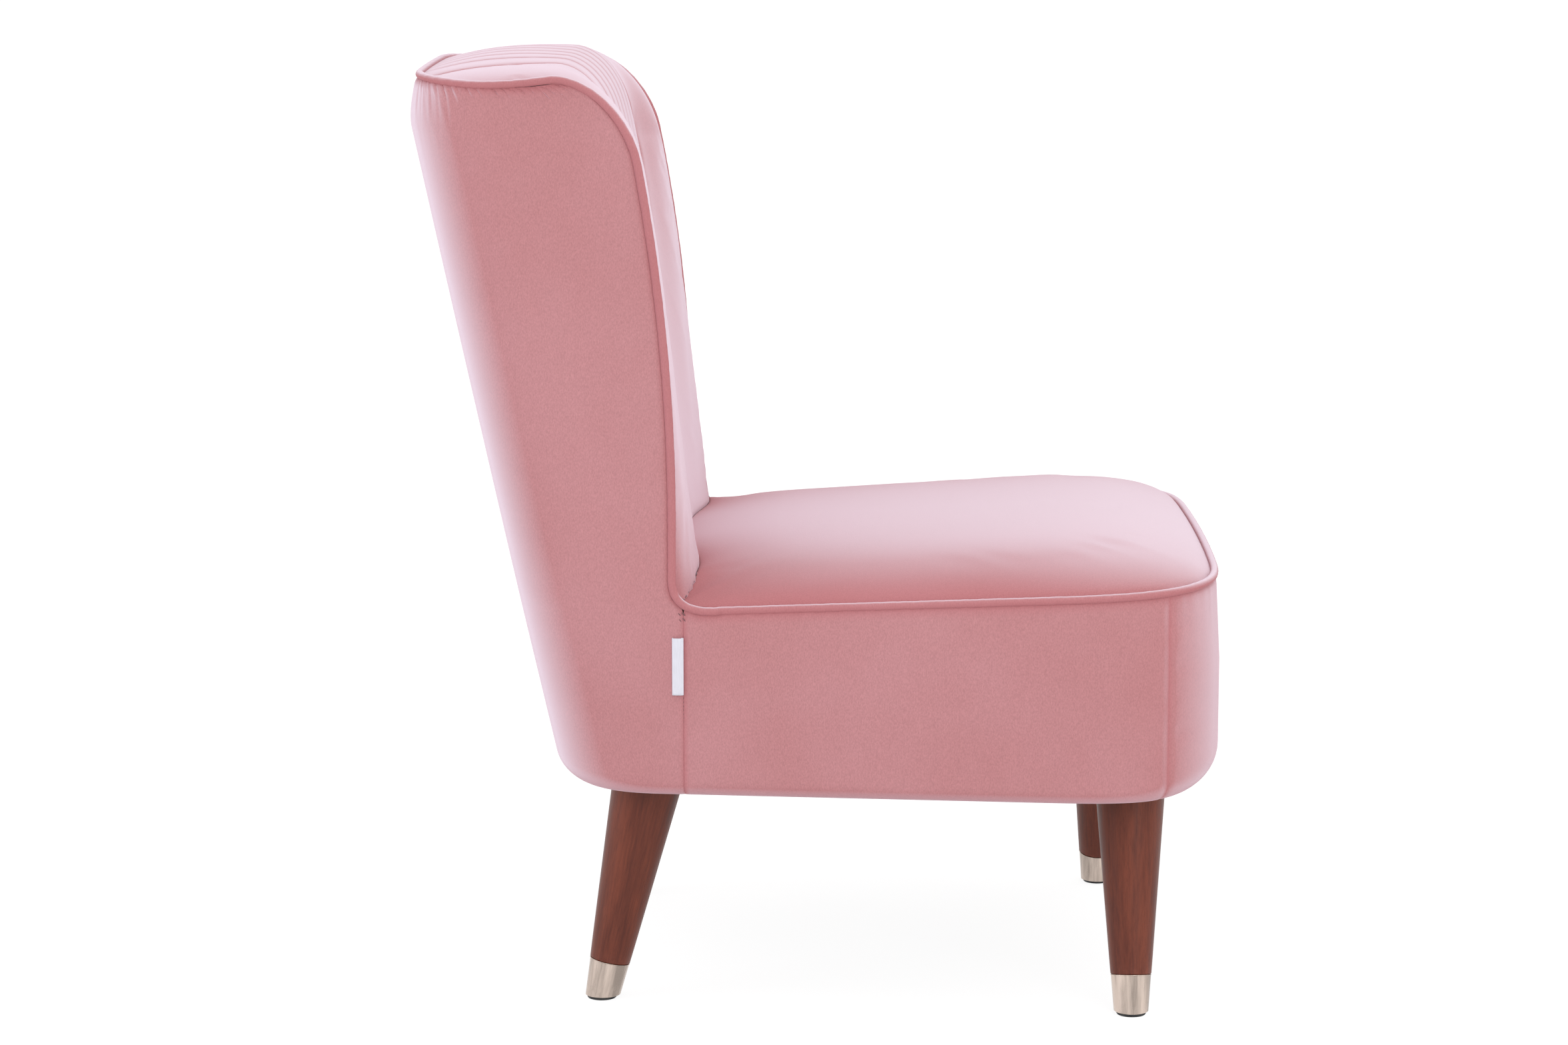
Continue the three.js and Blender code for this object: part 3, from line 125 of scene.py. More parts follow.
# Crown and margins of the back
CREVICE_FULLNESS = 0.007
MARGIN_FULLNESS = 0.0055
BACK_HOLLOW = 0.016
TOP_FULLNESS = 0.0175
CROWN_POWER = 5
CROWN_FALL = 0.16
EDGE_POWER = 8
EDGE_ROOT = 0.667
TOP_REAR_POWER = 3
MARGIN_TOP = 0.88
MARGIN_FOOT = 0.70
MARGIN_HEIGHT = 0.215
PLEATED_TOP = 0.72
PLEATED_FOOT = 0.16

# Legs: foot places and slopes in degrees, as in the solids
FRONT_FOOT = (0.23097, 0.277, 13.5, 0.0)
REAR_FOOT = (0.18200, -0.191, 3.5, 11.9)
LEG_TOP = 0.2014
LEG_TOP_RADIUS = 0.0315
FERRULE_TOP_RADIUS = 0.018
FOOT_RADIUS = 0.015
FERRULE_HEIGHT = 0.0315
GLIDE_HEIGHT = 0.003
GLIDE_RADIUS = 0.013

# Covers at the welt and at their seams
BEHIND_WELT = 0.0030  # covers end this far from the middle of the welt
UNDER_WELT_DEPTH = 0.0016  # covers draw in this far under the welt
UNDER_WELT_HEIGHT = 0.0036
SEAM_SINK = 0.0002  # stitches lie this far in from the face of the cover
SEAT_END = (0, -0.004, -0.010)  # how far the seat's cover runs on into the crevice
BACK_END = (0, -0.008, -0.010)  # how far the back's cover runs on into the crevice

# Velvet
# Painted light on the velvet: a mark of painted shade darkens the pile by seams, welt, rolled edges
# and hollows, and a pale painted sheen grows where the surface turns from the camera
SHADE_MARK = "painted_shade"  # mark of the painted shade, which also takes away the painted sheen
SHADE_BESIDE_SEAM = 0.0026
SHADE_UNDER_WELT = 0.005
SHADE_ON_ROLL = 0.6  # how strong the painted shade is on the rolled bottom edge
PAINTED_SHEEN_FROM = (0.17, 0.78)  # turn of the surface at which the painted sheen starts, and at which it is full
SHADE_TONE = (0.85, 0.60, 0.62)  # colour of the painted shade, as shares of the pile's

# Cloth that settles before it is kept
SETTLING_STEPS = 20
CLOTH = {
    "quality": 5,
    "mass": 0.3,
    "tension_stiffness": 15,
    "compression_stiffness": 15,
    "shear_stiffness": 5,
    "bending_stiffness": 0.4,
    "use_pressure": True,
}

# Fineness of the surfaces
CORNER_STEPS = 96
BOW_STEPS = 16
EVEN_STEPS = 400


# Curves and grids


def lerp(a, b, share):
    return a + (b - a) * share


def smooth(x, low, high):
    t = np.clip((x - low) / (high - low), 0, 1)
    return t * t * (3 - 2 * t)


def placed(points):
    """Points given as across, forward and up, in the frame of the solids."""
    points = np.asarray(points, float)
    return points * (1, -1, 1)


def unit(vectors):
    return vectors / np.linalg.norm(vectors, axis=-1, keepdims=True)


def reach_along(line):
    """Distance along a line at each of its points."""
    return np.concatenate([[0], np.cumsum(np.linalg.norm(np.diff(line, axis=0), axis=1))])


def ring_ahead(points):
    """The way ahead at each point of a closed line."""
    return unit(np.roll(points, -1, axis=0) - np.roll(points, 1, axis=0))


def angles_round(sides):
    return 2 * math.pi * np.arange(sides) / sides


def resampled(line, count):
    """The line at even steps along it."""
    line = np.asarray(line, float)
    reach = reach_along(line)
    wanted = np.linspace(0, reach[-1], count + 1)
    return np.stack([np.interp(wanted, reach, column) for column in line.T], axis=1)


def ripple(along, pitch, phase):
    """An uneven wave between -1 and 1, as gathered cloth has."""
    turns = 2 * math.pi * np.asarray(along) / pitch + phase
    return 0.5 * np.sin(turns) + 0.3 * np.sin(1.73 * turns + 2.1) + 0.2 * np.sin(2.91 * turns + 4.4)


def gathered(along, away, height, pitch, phase, reach):
    """A ripple that runs along a seam and fades with the distance away from it."""
    return height * ripple(along, pitch, phase) * np.exp(-away / reach)


# The body's outer shape

LEAN_SPAN = BACK_TOP - LEAN_START
LEAN_SCALE = LEAN * (LEAN_SPAN + LEAN_SOFTENING) / LEAN_SPAN**2


def half_width(forward, up):
    above = np.maximum(0, up - LEAN_START)
    lean = LEAN_SCALE * above**2 / (above + LEAN_SOFTENING)
    return FRONT_HALF_WIDTH - TAPER * (FRONT_FORWARD - forward) - lean


def welt_height(forward):
    return FRONT_WELT_HEIGHT - WELT_SLOPE * (FRONT_FORWARD - forward)


def front_line(across, up=0.0):
    return FRONT_FORWARD - FRONT_BOW * (across / FRONT_HALF_WIDTH) ** 2


def rear_middle(up):
    tucked = np.maximum(0, up - BACK_TOP + REAR_TUCK_OVER) / REAR_TUCK_OVER
    return REAR_FORWARD - REAR_SLOPE * (up - REAR_HEIGHT) + REAR_TUCK * tucked**REAR_TUCK_POWER


def rear_line(across, up):
    return rear_middle(up) + REAR_BOW * (across / FRONT_HALF_WIDTH) ** 2


def wing_forward(up):
    return WING_FORWARD - WING_LEAN * (np.maximum(0, up - WING_LEAN_START) / WING_LEAN_OVER) ** 2


BEND_START = BACK_TOP - BEND_HEIGHT


def bend_forward(rise):
    return wing_forward(BEND_START + rise * BEND_HEIGHT) - BEND_DEPTH


BEND_MIDDLE = float(bend_forward(1))
TURN_BOTTOM = welt_height(REAR_SEAM) - TURN_DROP


def wing_edge(up, depth=0.0):
    """Forward place of the welt up the back, or of a line some depth inside it."""
    up = np.asarray(up, float)
    rise = np.clip((up - BEND_START) / (BEND_HEIGHT - depth), 0, 1)
    bent = bend_forward(rise) + (BEND_DEPTH - depth) * np.sqrt(1 - rise**2)
    turned = smooth(up, TURN_BOTTOM, TURN_BOTTOM + COVER_TURN)
    straight = lerp(REAR_SEAM, wing_forward(up) - depth, turned)
    return np.where(up >= BEND_START, bent, straight)


def top_height(forward):
    share = np.clip((BEND_MIDDLE - forward) / (BEND_MIDDLE - rear_middle(BACK_TOP)), 0, 1)
    return BACK_TOP - TOP_DIP * np.sin(math.pi * share)


FRONT_END = (FRONT_CORNER_REACH, FRONT_CORNER_POWER, front_line, 1)
REAR_END = (REAR_CORNER_REACH, REAR_CORNER_POWER, rear_line, -1)


def corner_curve(end, up, inset=0.0, angle=None):
    """A rounded corner in plan on the sitter's left, from the side round to the end."""
    reach, power, line, facing = end
    if angle is None:
        angle = np.linspace(0, math.pi / 2, CORNER_STEPS + 1)
    cosine = np.clip(np.cos(angle), 0, 1)
    sine = np.clip(np.sin(angle), 0, 1)
    from_side = reach * (1 - cosine ** (2 / power))
    from_end = reach * (1 - sine ** (2 / power))
    across = FRONT_HALF_WIDTH - from_side
    forward = line(across, up) - facing * from_end
    for _ in range(4):
        across = half_width(forward, up) - from_side
        forward = line(across, up) - facing * from_end
    out_x = cosine ** (2 - 2 / power)
    out_y = sine ** (2 - 2 / power)
    scale = inset / np.hypot(out_x, out_y)
    return np.stack([across - out_x * scale, forward - facing * out_y * scale], axis=-1)


def end_path(end, up, stop):
    """Round one end of the chair in plan: right, front, left or left, rear, right."""
    corner = corner_curve(end, up)
    half = np.vstack([[half_width(stop, up), stop], corner])
    across = np.linspace(corner[-1, 0], -corner[-1, 0], BOW_STEPS + 1)[1:-1]
    middle = np.stack([across, end[2](across, up)], axis=1)
    path = np.vstack([half, middle, half[::-1] * (-1, 1)])
    return path[::-1] if end is FRONT_END else path


def kept(path, least, facing=1):
    """The part of a path whose forward place, times facing, is at least some value."""
    inside = []
    for i, point in enumerate(path):
        value = facing * point[1]
        if i and (facing * path[i - 1][1] < least) != (value < least):
            before = facing * path[i - 1][1]
            inside.append(lerp(path[i - 1], point, (least - before) / (value - before)))
        if value >= least:
            inside.append(point)
    return np.array(inside)


class Wall:
    """An upright cover between two seams: a plan line for each of many heights."""

    def __init__(self, path_at, levels, columns):
        self.levels = np.asarray(levels)
        self.lines = np.array([resampled(path_at(up), columns) for up in levels])
        along = np.gradient(self.lines, axis=1)
        self.normals = unit(np.stack([-along[..., 1], along[..., 0]], axis=-1))
        self.columns = columns

    def at(self, up):
        """Points and outward normals in plan at a height for each row and column."""
        up = np.broadcast_to(up, np.broadcast_shapes(np.shape(up), (self.columns + 1,)))
        k = np.clip(np.searchsorted(self.levels, up) - 1, 0, len(self.levels) - 2)
        step = self.levels[k + 1] - self.levels[k]
        share = np.clip((up - self.levels[k]) / step, 0, 1)[..., None]
        column = np.broadcast_to(np.arange(self.columns + 1), up.shape)
        point = lerp(self.lines[k, column], self.lines[k + 1, column], share)
        normal = lerp(self.normals[k, column], self.normals[k + 1, column], share)
        return point, normal

    def reach(self):
        """Distance of each column along the wall, and from the nearer of its two seams."""
        along = reach_along(self.at(UNDERSIDE)[0])
        return along, np.minimum(along, along[-1] - along)


def roll_at(normal):
    """Radius of the rolled bottom edge, by the way that it faces."""
    ends = np.where(normal[:, 1] > 0, FRONT_ROLL, REAR_ROLL)
    return SIDE_ROLL * normal[:, 0] ** 2 + ends * normal[:, 1] ** 2


def border_grid(wall, top, drops, inwards_more):
    """Rows down a wall (0 to 1), round its rolled edge (1 to 2) and flat below the chair (to 3)."""
    normal = wall.at(UNDERSIDE)[1]
    roll = roll_at(normal)
    drop = np.asarray(drops)[:, None]
    angle = np.clip(drop - 1, 0, 1) * math.pi / 2
    up = lerp(top, UNDERSIDE + roll, np.minimum(1, drop)) - roll * np.sin(angle)
    full = FRONT_FULLNESS * np.minimum(1, 2 * drop) * np.maximum(0, normal[:, 1]) ** 2
    inwards = roll * (1 - np.cos(angle)) + np.clip(drop - 2, 0, 1) * TURN_UNDER - full
    inwards = inwards + inwards_more(top - up, np.minimum(1, drop))
    point, out = wall.at(up)
    plan = point - out * inwards[..., None]
    return np.concatenate([plan, up[..., None]], axis=-1)


# Meshes


def linked(name, data):
    """A new object in the scene."""
    made = bpy.data.objects.new(name, data)
    bpy.context.scene.collection.objects.link(made)
    return made


def new_object(name, points, faces, smooth_faces=True):
    mesh = bpy.data.meshes.new(name)
    mesh.from_pydata(np.asarray(points).tolist(), [], faces)
    mesh.polygons.foreach_set("use_smooth", [smooth_faces] * len(mesh.polygons))
    mesh.update()
    return linked(name, mesh)


def ring_faces(rings, sides, first=0, closed=False, capped=False, flip=False):
    """Faces between rings of points that follow one another. A closed row joins its last ring to
    its first, and a capped one gets a face over each end. Flip turns the faces over."""
    faces = []
    for i in range(rings if closed else rings - 1):
        a, b = (first + ring % rings * sides for ring in (i, i + 1))
        for k in range(sides):
            following = (k + 1) % sides
            face = (a + k, a + following, b + following, b + k)
            faces.append((face[0], *face[:0:-1]) if flip else face)
    if capped:
        last = first + (rings - 1) * sides
        faces.append(tuple(range(first, first + sides))[::-1])
        faces.append(tuple(range(last, last + sides)))
    return faces


def grid_faces(rows, columns, first=0, flip=False):
    faces = []
    for i in range(rows - 1):
        for j in range(columns - 1):
            a = first + i * columns + j
            face = (a, a + 1, a + columns + 1, a + columns)
            faces.append(face[::-1] if flip else face)
    return faces


def grid_normals(grid):
    along = np.gradient(grid, axis=1)
    down = np.gradient(grid, axis=0)
    normal = np.cross(along, down)
    length = np.linalg.norm(normal, axis=-1, keepdims=True)
    return normal / np.maximum(length, 1e-12)


def shell(name, grid, thickness, out):
    """A closed cover: the grid, a second sheet inside it, and a rim. Out is +1 or -1, the side of
    the grid's own normals that faces out of the chair."""
    rows, columns = grid.shape[:2]
    inner = grid - out * grid_normals(grid) * thickness
    count = rows * columns
    faces = grid_faces(rows, columns, 0, flip=out < 0)
    faces += grid_faces(rows, columns, count, flip=out > 0)
    rim = list(range(columns))
    rim += [i * columns + columns - 1 for i in range(1, rows)]
    rim += [(rows - 1) * columns + j for j in range(columns - 2, -1, -1)]
    rim += [i * columns for i in range(rows - 2, 0, -1)]
    for k, a in enumerate(rim):
        b = rim[(k + 1) % len(rim)]
        face = (b, a, count + a, count + b)
        faces.append(face if out > 0 else face[::-1])
    points = np.vstack([grid.reshape(-1, 3), inner.reshape(-1, 3)])
    piece = new_object(name, points, faces)
    piece.data.set_sharp_from_angle(angle=math.radians(50))
    return piece


def settled(grid, sewn, pressure, slack, most, out):
    """The grid after its cloth has filled out under pressure while the sewn points stay.
    No point moves further than the most that is given."""
    rows, columns = grid.shape[:2]
    sheet = new_object("settling_sheet", grid.reshape(-1, 3), grid_faces(rows, columns, 0, out < 0))
    group = sheet.vertex_groups.new(name="sewn")
    weights = np.broadcast_to(sewn, (rows, columns)).reshape(-1)
    for index in np.flatnonzero(weights > 0):
        group.add([int(index)], float(weights[index]), "REPLACE")
    cloth = sheet.modifiers.new("cloth", "CLOTH")
    for name, value in CLOTH.items():
        setattr(cloth.settings, name, value)
    cloth.settings.uniform_pressure_force = pressure
    cloth.settings.shrink_min = -slack
    cloth.settings.vertex_group_mass = "sewn"
    cloth.settings.effector_weights.gravity = 0
    cloth.point_cache.frame_start = 1
    cloth.point_cache.frame_end = SETTLING_STEPS
    for number in range(1, SETTLING_STEPS + 1):
        bpy.context.scene.frame_set(number)
    shown = sheet.evaluated_get(bpy.context.evaluated_depsgraph_get())
    moved = np.zeros(rows * columns * 3, np.float32)
    shown.data.vertices.foreach_get("co", moved)
    bpy.context.scene.frame_set(1)
    bpy.data.objects.remove(sheet)
    move = moved.reshape(grid.shape).astype(float) - grid
    length = np.maximum(np.linalg.norm(move, axis=-1, keepdims=True), 1e-9)
    return grid + move * (most * np.tanh(length / most) / length)


def tube(name, points, outs, radius, sides):
    """A round cord along a closed line. The radius is given for each point and side."""
    ahead = ring_ahead(points)
    across = unit(outs - ahead * np.sum(outs * ahead, axis=1, keepdims=True))
    third = np.cross(ahead, across)
    angle = angles_round(sides)[:, None]
    spokes = across[:, None] * np.cos(angle) + third[:, None] * np.sin(angle)
    body = points[:, None] + spokes * radius[..., None]
    return new_object(name, body.reshape(-1, 3), ring_faces(len(points), sides, closed=True))


def lathe(name, profile, sides=64):
    """A turned piece about its own Z axis, from pairs of radius and height."""
    angle = angles_round(sides)
    ring = np.stack([np.cos(angle), np.sin(angle)], axis=1)
    points = [[x * r, y * r, z] for r, z in profile for x, y in ring]
    piece = new_object(name, points, ring_faces(len(profile), sides, capped=True))
    piece.data.set_sharp_from_angle(angle=math.radians(35))
    return piece


def paint_shade(piece, shade):
    """Marks the painted shade of a cover, from 0 to 1: there the velvet is painted darker and loses
    its painted sheen.
    """
    mark = piece.data.attributes.new(SHADE_MARK, "FLOAT", "POINT")
    shade = np.asarray(shade, np.float32).reshape(-1)
    mark.data.foreach_set("value", np.tile(shade, len(piece.data.vertices) // len(shade)))


def dress(piece, finish, slot, *nodes):
    """Gives a piece its finish, lets it ride on the chair and stand for its solids. The slot is not
    used.
    """
    piece.data.materials.clear()
    piece.data.materials.append(finish)
    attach(piece, BODY)
    if nodes:
        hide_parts(*nodes)
    return piece


# Finishes

SURFACE = {"Color": "NodeSocketColor", "Roughness": "NodeSocketFloat", "Height": "NodeSocketFloat"}
GROUPS = {}
FINISHES = {}


def give(tree, sockets, values):
    """Gives each named socket a value, or joins it to another socket."""
    for label, value in values.items():
        if isinstance(value, bpy.types.NodeSocket):
            tree.links.new(value, sockets[label])
        else:
            sockets[label].default_value = value


def new_node(tree, kind, inputs, **settings):
    node = tree.nodes.new("ShaderNode" + kind)
    for name, value in settings.items():
        setattr(node, name, value)
    give(tree, node.inputs, inputs)
    return node


def maths(tree, operation, first, second, clamp=False):
    settings = {"operation": operation, "use_clamp": clamp}
    return new_node(tree, "Math", {0: first, 1: second}, **settings).outputs[0]


def times(tree, first, second, clamp=False):
    return maths(tree, "MULTIPLY", first, second, clamp)


def weighed(tree, first, second, share):
    """The first value by its share, and the second by the rest."""
    return maths(tree, "ADD", times(tree, first, share), times(tree, second, 1 - share))


def mixed(tree, share, first, second):
    return new_node(tree, "Mix", {0: share, 6: first, 7: second}, data_type="RGBA").outputs[2]


def tinted(tree, base, value):
    return new_node(tree, "HueSaturation", {"Color": base, "Value": value}).outputs[0]


def spread(tree, value, low, high, to_low=0.0, to_high=1.0):
    limits = {"From Min": low, "From Max": high, "To Min": to_low, "To Max": to_high}
    return new_node(tree, "MapRange", {"Value": value, **limits}).outputs[0]


def noise(tree, position, scale, detail=2.0, roughness=0.5, stretch=None):
    if stretch is not None:
        position = new_node(tree, "Mapping", {"Vector": position, "Scale": stretch}).outputs[0]
    inputs = {"Vector": position, "Scale": scale, "Detail": detail, "Roughness": roughness}
    return new_node(tree, "TexNoise", inputs).outputs["Fac"]


def new_group(name, inputs, outputs=SURFACE):
    """A group of nodes that takes a position and named values, with the sockets at its two ends."""
    group = bpy.data.node_groups.new(name, "ShaderNodeTree")
    group.interface.new_socket("Position", in_out="INPUT", socket_type="NodeSocketVector")
    for label, value in inputs.items():
        kind = "NodeSocketFloat" if isinstance(value, float) else "NodeSocketColor"
        group.interface.new_socket(label, in_out="INPUT", socket_type=kind).default_value = value
    for label, kind in outputs.items():
        group.interface.new_socket(label, in_out="OUTPUT", socket_type=kind)
    start, end = group.nodes.new("NodeGroupInput"), group.nodes.new("NodeGroupOutput")
    return group, start.outputs, end.inputs


def pile_group():
    """Short cut pile: patches brushed one way or the other, and single tufts."""
    colours = {"Pile": (0.5, 0.2, 0.2, 1), "Brushed": (0.6, 0.3, 0.3, 1)}
    scales = {"Patch Scale": 7.0, "Patch Amount": 0.5, "Tuft Scale": 900.0, "Tuft Contrast": 0.2}
    tree, start, end = new_group("velvet pile", {**colours, **scales})
    position = start["Position"]
    patches = noise(tree, position, start["Patch Scale"], 3, 0.55)
    brushed = times(tree, spread(tree, patches, 0.35, 0.65), start["Patch Amount"])
    base = mixed(tree, brushed, start["Pile"], start["Brushed"])
    tufts = noise(tree, position, start["Tuft Scale"], 2, 0.6, (1, 1, 0.55))
    lines = noise(tree, position, 260, 1, 0.5, (1, 1, 0.05))
    dark = maths(tree, "SUBTRACT", 1.0, start["Tuft Contrast"])
    color = tinted(tree, base, spread(tree, tufts, 0.3, 0.7, dark, 1.0))
    roughness = spread(tree, patches, 0.3, 0.7, 0.78, 0.92)
    height = maths(tree, "ADD", tufts, times(tree, lines, 0.5))
    give(tree, end, {"Color": color, "Roughness": roughness, "Height": height})
    return tree


def grain_group():
    """Wood grain along Z of the position it is given: broad figure, fine lines and pores."""
    colours = {"Light": (0.3, 0.1, 0.05, 1), "Dark": (0.1, 0.03, 0.02, 1)}
    values = {"Scale": 1.0, "Sheen Low": 0.3, "Sheen High": 0.5}
    tree, start, end = new_group("wood grain", {**colours, **values})
    scaled = {0: start["Position"], "Scale": start["Scale"]}
    position = new_node(tree, "VectorMath", scaled, operation="SCALE").outputs[0]
    figure = noise(tree, position, 55, 4, 0.6, (1, 1, 0.09))
    lines = noise(tree, position, 420, 3, 0.65, (1, 1, 0.03))
    pores = noise(tree, position, 1500, 1, 0.5, (1, 1, 0.05))
    share = spread(tree, weighed(tree, figure, lines, 0.55), 0.38, 0.62)
    open_pores = spread(tree, pores, 0.60, 0.72)
    base = mixed(tree, share, start["Dark"], start["Light"])
    color = mixed(tree, times(tree, open_pores, 0.45), base, start["Dark"])
    roughness = spread(tree, lines, 0.3, 0.7, start["Sheen Low"], start["Sheen High"])
    height = maths(tree, "SUBTRACT", lines, open_pores)
    give(tree, end, {"Color": color, "Roughness": roughness, "Height": height})
    return tree


def brushed_group():
    """Brush lines along Z, with lighter and darker bands of painted reflection along Z in the
    colour, and finger smudges over them.
    """
    values = {"Band Depth": 0.5, "Roughness Low": 0.22, "Roughness High": 0.38}
    tree, start, end = new_group("brushed metal", {"Metal": (0.6, 0.6, 0.6, 1), **values})
    position = start["Position"]
    lines = noise(tree, position, 300, 3, 0.7, (1, 1, 0.04))
    painted_reflections = noise(tree, position, 75, 2, 0.5, (1, 1, 0.05))
    smudges = noise(tree, position, 90, 3, 0.6)
    rough = weighed(tree, lines, smudges, 0.6)
    roughness = spread(tree, rough, 0.35, 0.65, start["Roughness Low"], start["Roughness High"])
    # The colour's tone: partly the brush lines, mostly the painted reflection bands; Band Depth is
    # how dark the bands go
    tone = spread(tree, weighed(tree, lines, painted_reflections, 0.3), 0.40, 0.60, start["Band Depth"], 1.05)
    color = tinted(tree, start["Metal"], tone)
    give(tree, end, {"Color": color, "Roughness": roughness, "Height": lines})
    return tree


def weave_group():
    """Plain weave: threads over and under one another, in two directions."""
    colours = {"Thread": (0.5, 0.5, 0.5, 1), "Gap": (0.3, 0.3, 0.3, 1)}
    tree, start, end = new_group("plain weave", {**colours, "Threads": 1200.0})
    x, y, z = new_node(tree, "SeparateXYZ", {0: start["Position"]}).outputs
    slant = maths(tree, "ADD", x, times(tree, y, 0.37))
    warp = maths(tree, "SINE", times(tree, slant, start["Threads"]), 0.0)
    weft = maths(tree, "SINE", times(tree, maths(tree, "ADD", z, y), start["Threads"]), 0.0)
    crossing = times(tree, warp, weft)
    slubs = noise(tree, start["Position"], 160, 2, 0.6)
    share = maths(tree, "ADD", spread(tree, crossing, -1, 1, 0.25, 0.75), times(tree, slubs, 0.4))
    color = mixed(tree, times(tree, share, 0.9, True), start["Gap"], start["Thread"])
    roughness = spread(tree, slubs, 0.3, 0.7, 0.75, 0.95)
    give(tree, end, {"Color": color, "Roughness": roughness, "Height": crossing})
    return tree


def wear_group():
    """How far an edge is rubbed, from 0 to 1: strongest on sharp edges, and broken by noise."""
    values = {"Amount": 0.5, "Scale": 120.0}
    tree, start, end = new_group("edge wear", values, {"Mask": "NodeSocketFloat"})
    sharpness = new_node(tree, "NewGeometry", {}).outputs["Pointiness"]
    edges = spread(tree, sharpness, 0.515, 0.60)
    broken = spread(tree, noise(tree, start["Position"], start["Scale"], 4, 0.6), 0.4, 0.6)
    give(tree, end, {"Mask": times(tree, times(tree, edges, broken), start["Amount"], True)})
    return tree


def group_node(tree, maker, position, **values):
    """The outputs of the shared group in a material, with this material's own values."""
    if maker not in GROUPS:
        GROUPS[maker] = maker()
    named = {label.replace("_", " "): value for label, value in values.items()}
    return new_node(tree, "Group", {"Position": position, **named}, node_tree=GROUPS[maker]).outputs


def rubbed(tree, position, base, worn, amount, scale):
    """The base colour with a worn colour on its rubbed edges."""
    wear = group_node(tree, wear_group, position, Amount=amount, Scale=scale)
    return mixed(tree, wear["Mask"], base, colour(worn))


def colour(values, scale=1.0):
    """A colour property as a socket takes it."""
    return (*(channel * scale for channel in values[:3]), 1.0)


def new_material(name, varied=False):
    """A material with its tree and the position in the piece, varied from one piece to the next
    where that is asked for."""
    material = bpy.data.materials.new(name)
    material.use_nodes = True
    tree = material.node_tree
    position = tree.nodes.new("ShaderNodeTexCoord").outputs["Object"]
    if varied:
        random = tree.nodes.new("ShaderNodeObjectInfo").outputs["Random"]
        position = new_node(tree, "VectorMath", {0: position, 1: random}).outputs[0]
    return material, tree, position


def cover_surface(tree, color, roughness, height, depth, strength, **more):
    """Gives a material's shader its colour, roughness and bump, and other values by name."""
    bump = new_node(tree, "Bump", {"Distance": depth, "Strength": strength, "Height": height})
    shader = tree.nodes["Principled BSDF"]
    inputs = {"Base Color": color, "Roughness": roughness, "Normal": bump.outputs[0]}
    more = {label.replace("_", " "): value for label, value in more.items()}
    give(tree, shader.inputs, {**inputs, **more})


def velvet_finish(name, darker=1.0, tuft_scale=900.0):
    colours = bpy.context.scene.chair_colours
    material, tree, position = new_material(name)
    pile = colour(colours.velvet, darker)
    tones = {"Pile": pile, "Brushed": colour(colours.velvet_brushed, darker)}
    patches = {"Patch_Scale": 8.0, "Patch_Amount": 0.55}
    tufts = {"Tuft_Scale": tuft_scale, "Tuft_Contrast": 0.19}
    cloth = group_node(tree, pile_group, position, **tones, **patches, **tufts)
    # Painted sheen: the colour turns pale as the surface turns away from the camera, except where
    # painted shade is marked (upright is the share with no shade)
    facing = new_node(tree, "LayerWeight", {"Blend": 0.5}).outputs["Facing"]
    shade = new_node(tree, "Attribute", {}, attribute_name=SHADE_MARK).outputs["Fac"]
    upright = maths(tree, "SUBTRACT", 1.0, shade, True)
    painted_sheen = times(tree, spread(tree, facing, *PAINTED_SHEEN_FROM), upright)
    # Painted shade: where marked, the pile's colour is darkened by up to half towards its shade
    # tone
    shade_tone = (*(c * share for c, share in zip(pile, SHADE_TONE)), 1.0)
    flat = mixed(tree, times(tree, shade, 0.5), cloth["Color"], shade_tone)
    base = mixed(tree, painted_sheen, flat, colour(colours.velvet_painted_sheen, darker))
    # The painted sheen colour also tints the shader's own sheen
    tint = colour(colours.velvet_painted_sheen)
    sheen = {"Sheen_Weight": 0.35, "Sheen_Roughness": 0.30, "Sheen_Tint": tint}
    rough, height = cloth["Roughness"], cloth["Height"]
    cover_surface(tree, base, rough, height, 0.0006, 0.35, **sheen, Specular_IOR_Level=0.10)
    return material


def wood_finish(name, light, dark, turn=(0, 0, 0), scale=1.0, sheen=(0.3, 0.5), coat=0.0, wear=0.3):
    material, tree, position = new_material(name, varied=True)
    position = new_node(tree, "Mapping", {"Vector": position, "Rotation": turn}).outputs[0]
    tones = {"Light": colour(light), "Dark": colour(dark)}
    shine = {"Sheen_Low": sheen[0], "Sheen_High": sheen[1]}
    grain = group_node(tree, grain_group, position, Scale=scale, **tones, **shine)
    pale = [min(1.0, c * 1.7 + 0.03) for c in light]
    base = rubbed(tree, position, grain["Color"], pale, wear, 150.0)
    coated = {"Coat_Weight": coat, "Coat_Roughness": 0.25, "Specular_IOR_Level": 0.2}
    cover_surface(tree, base, grain["Roughness"], grain["Height"], 0.0003, 0.25, **coated)
    return material


def metal_finish(name, metal, low, high, wear=0.4):
    material, tree, position = new_material(name, varied=True)
    look = {"Metal": colour(metal), "Roughness_Low": low, "Roughness_High": high}
    brushed = group_node(tree, brushed_group, position, **look)
    bright = [min(1.0, c * 1.25) for c in metal]
    base = rubbed(tree, position, brushed["Color"], bright, wear, 260.0)
    cover_surface(tree, base, brushed["Roughness"], brushed["Height"], 0.0001, 0.15, Metallic=1.0)
    return material


def woven_finish(name, thread, gap, threads, depth=0.0004):
    material, tree, position = new_material(name)
    look = {"Thread": colour(thread), "Gap": colour(gap), "Threads": threads}
    cloth = group_node(tree, weave_group, position, **look)
    rough, height = cloth["Roughness"], cloth["Height"]
    cover_surface(tree, cloth["Color"], rough, height, depth, 0.5, Specular_IOR_Level=0.25)
    return material


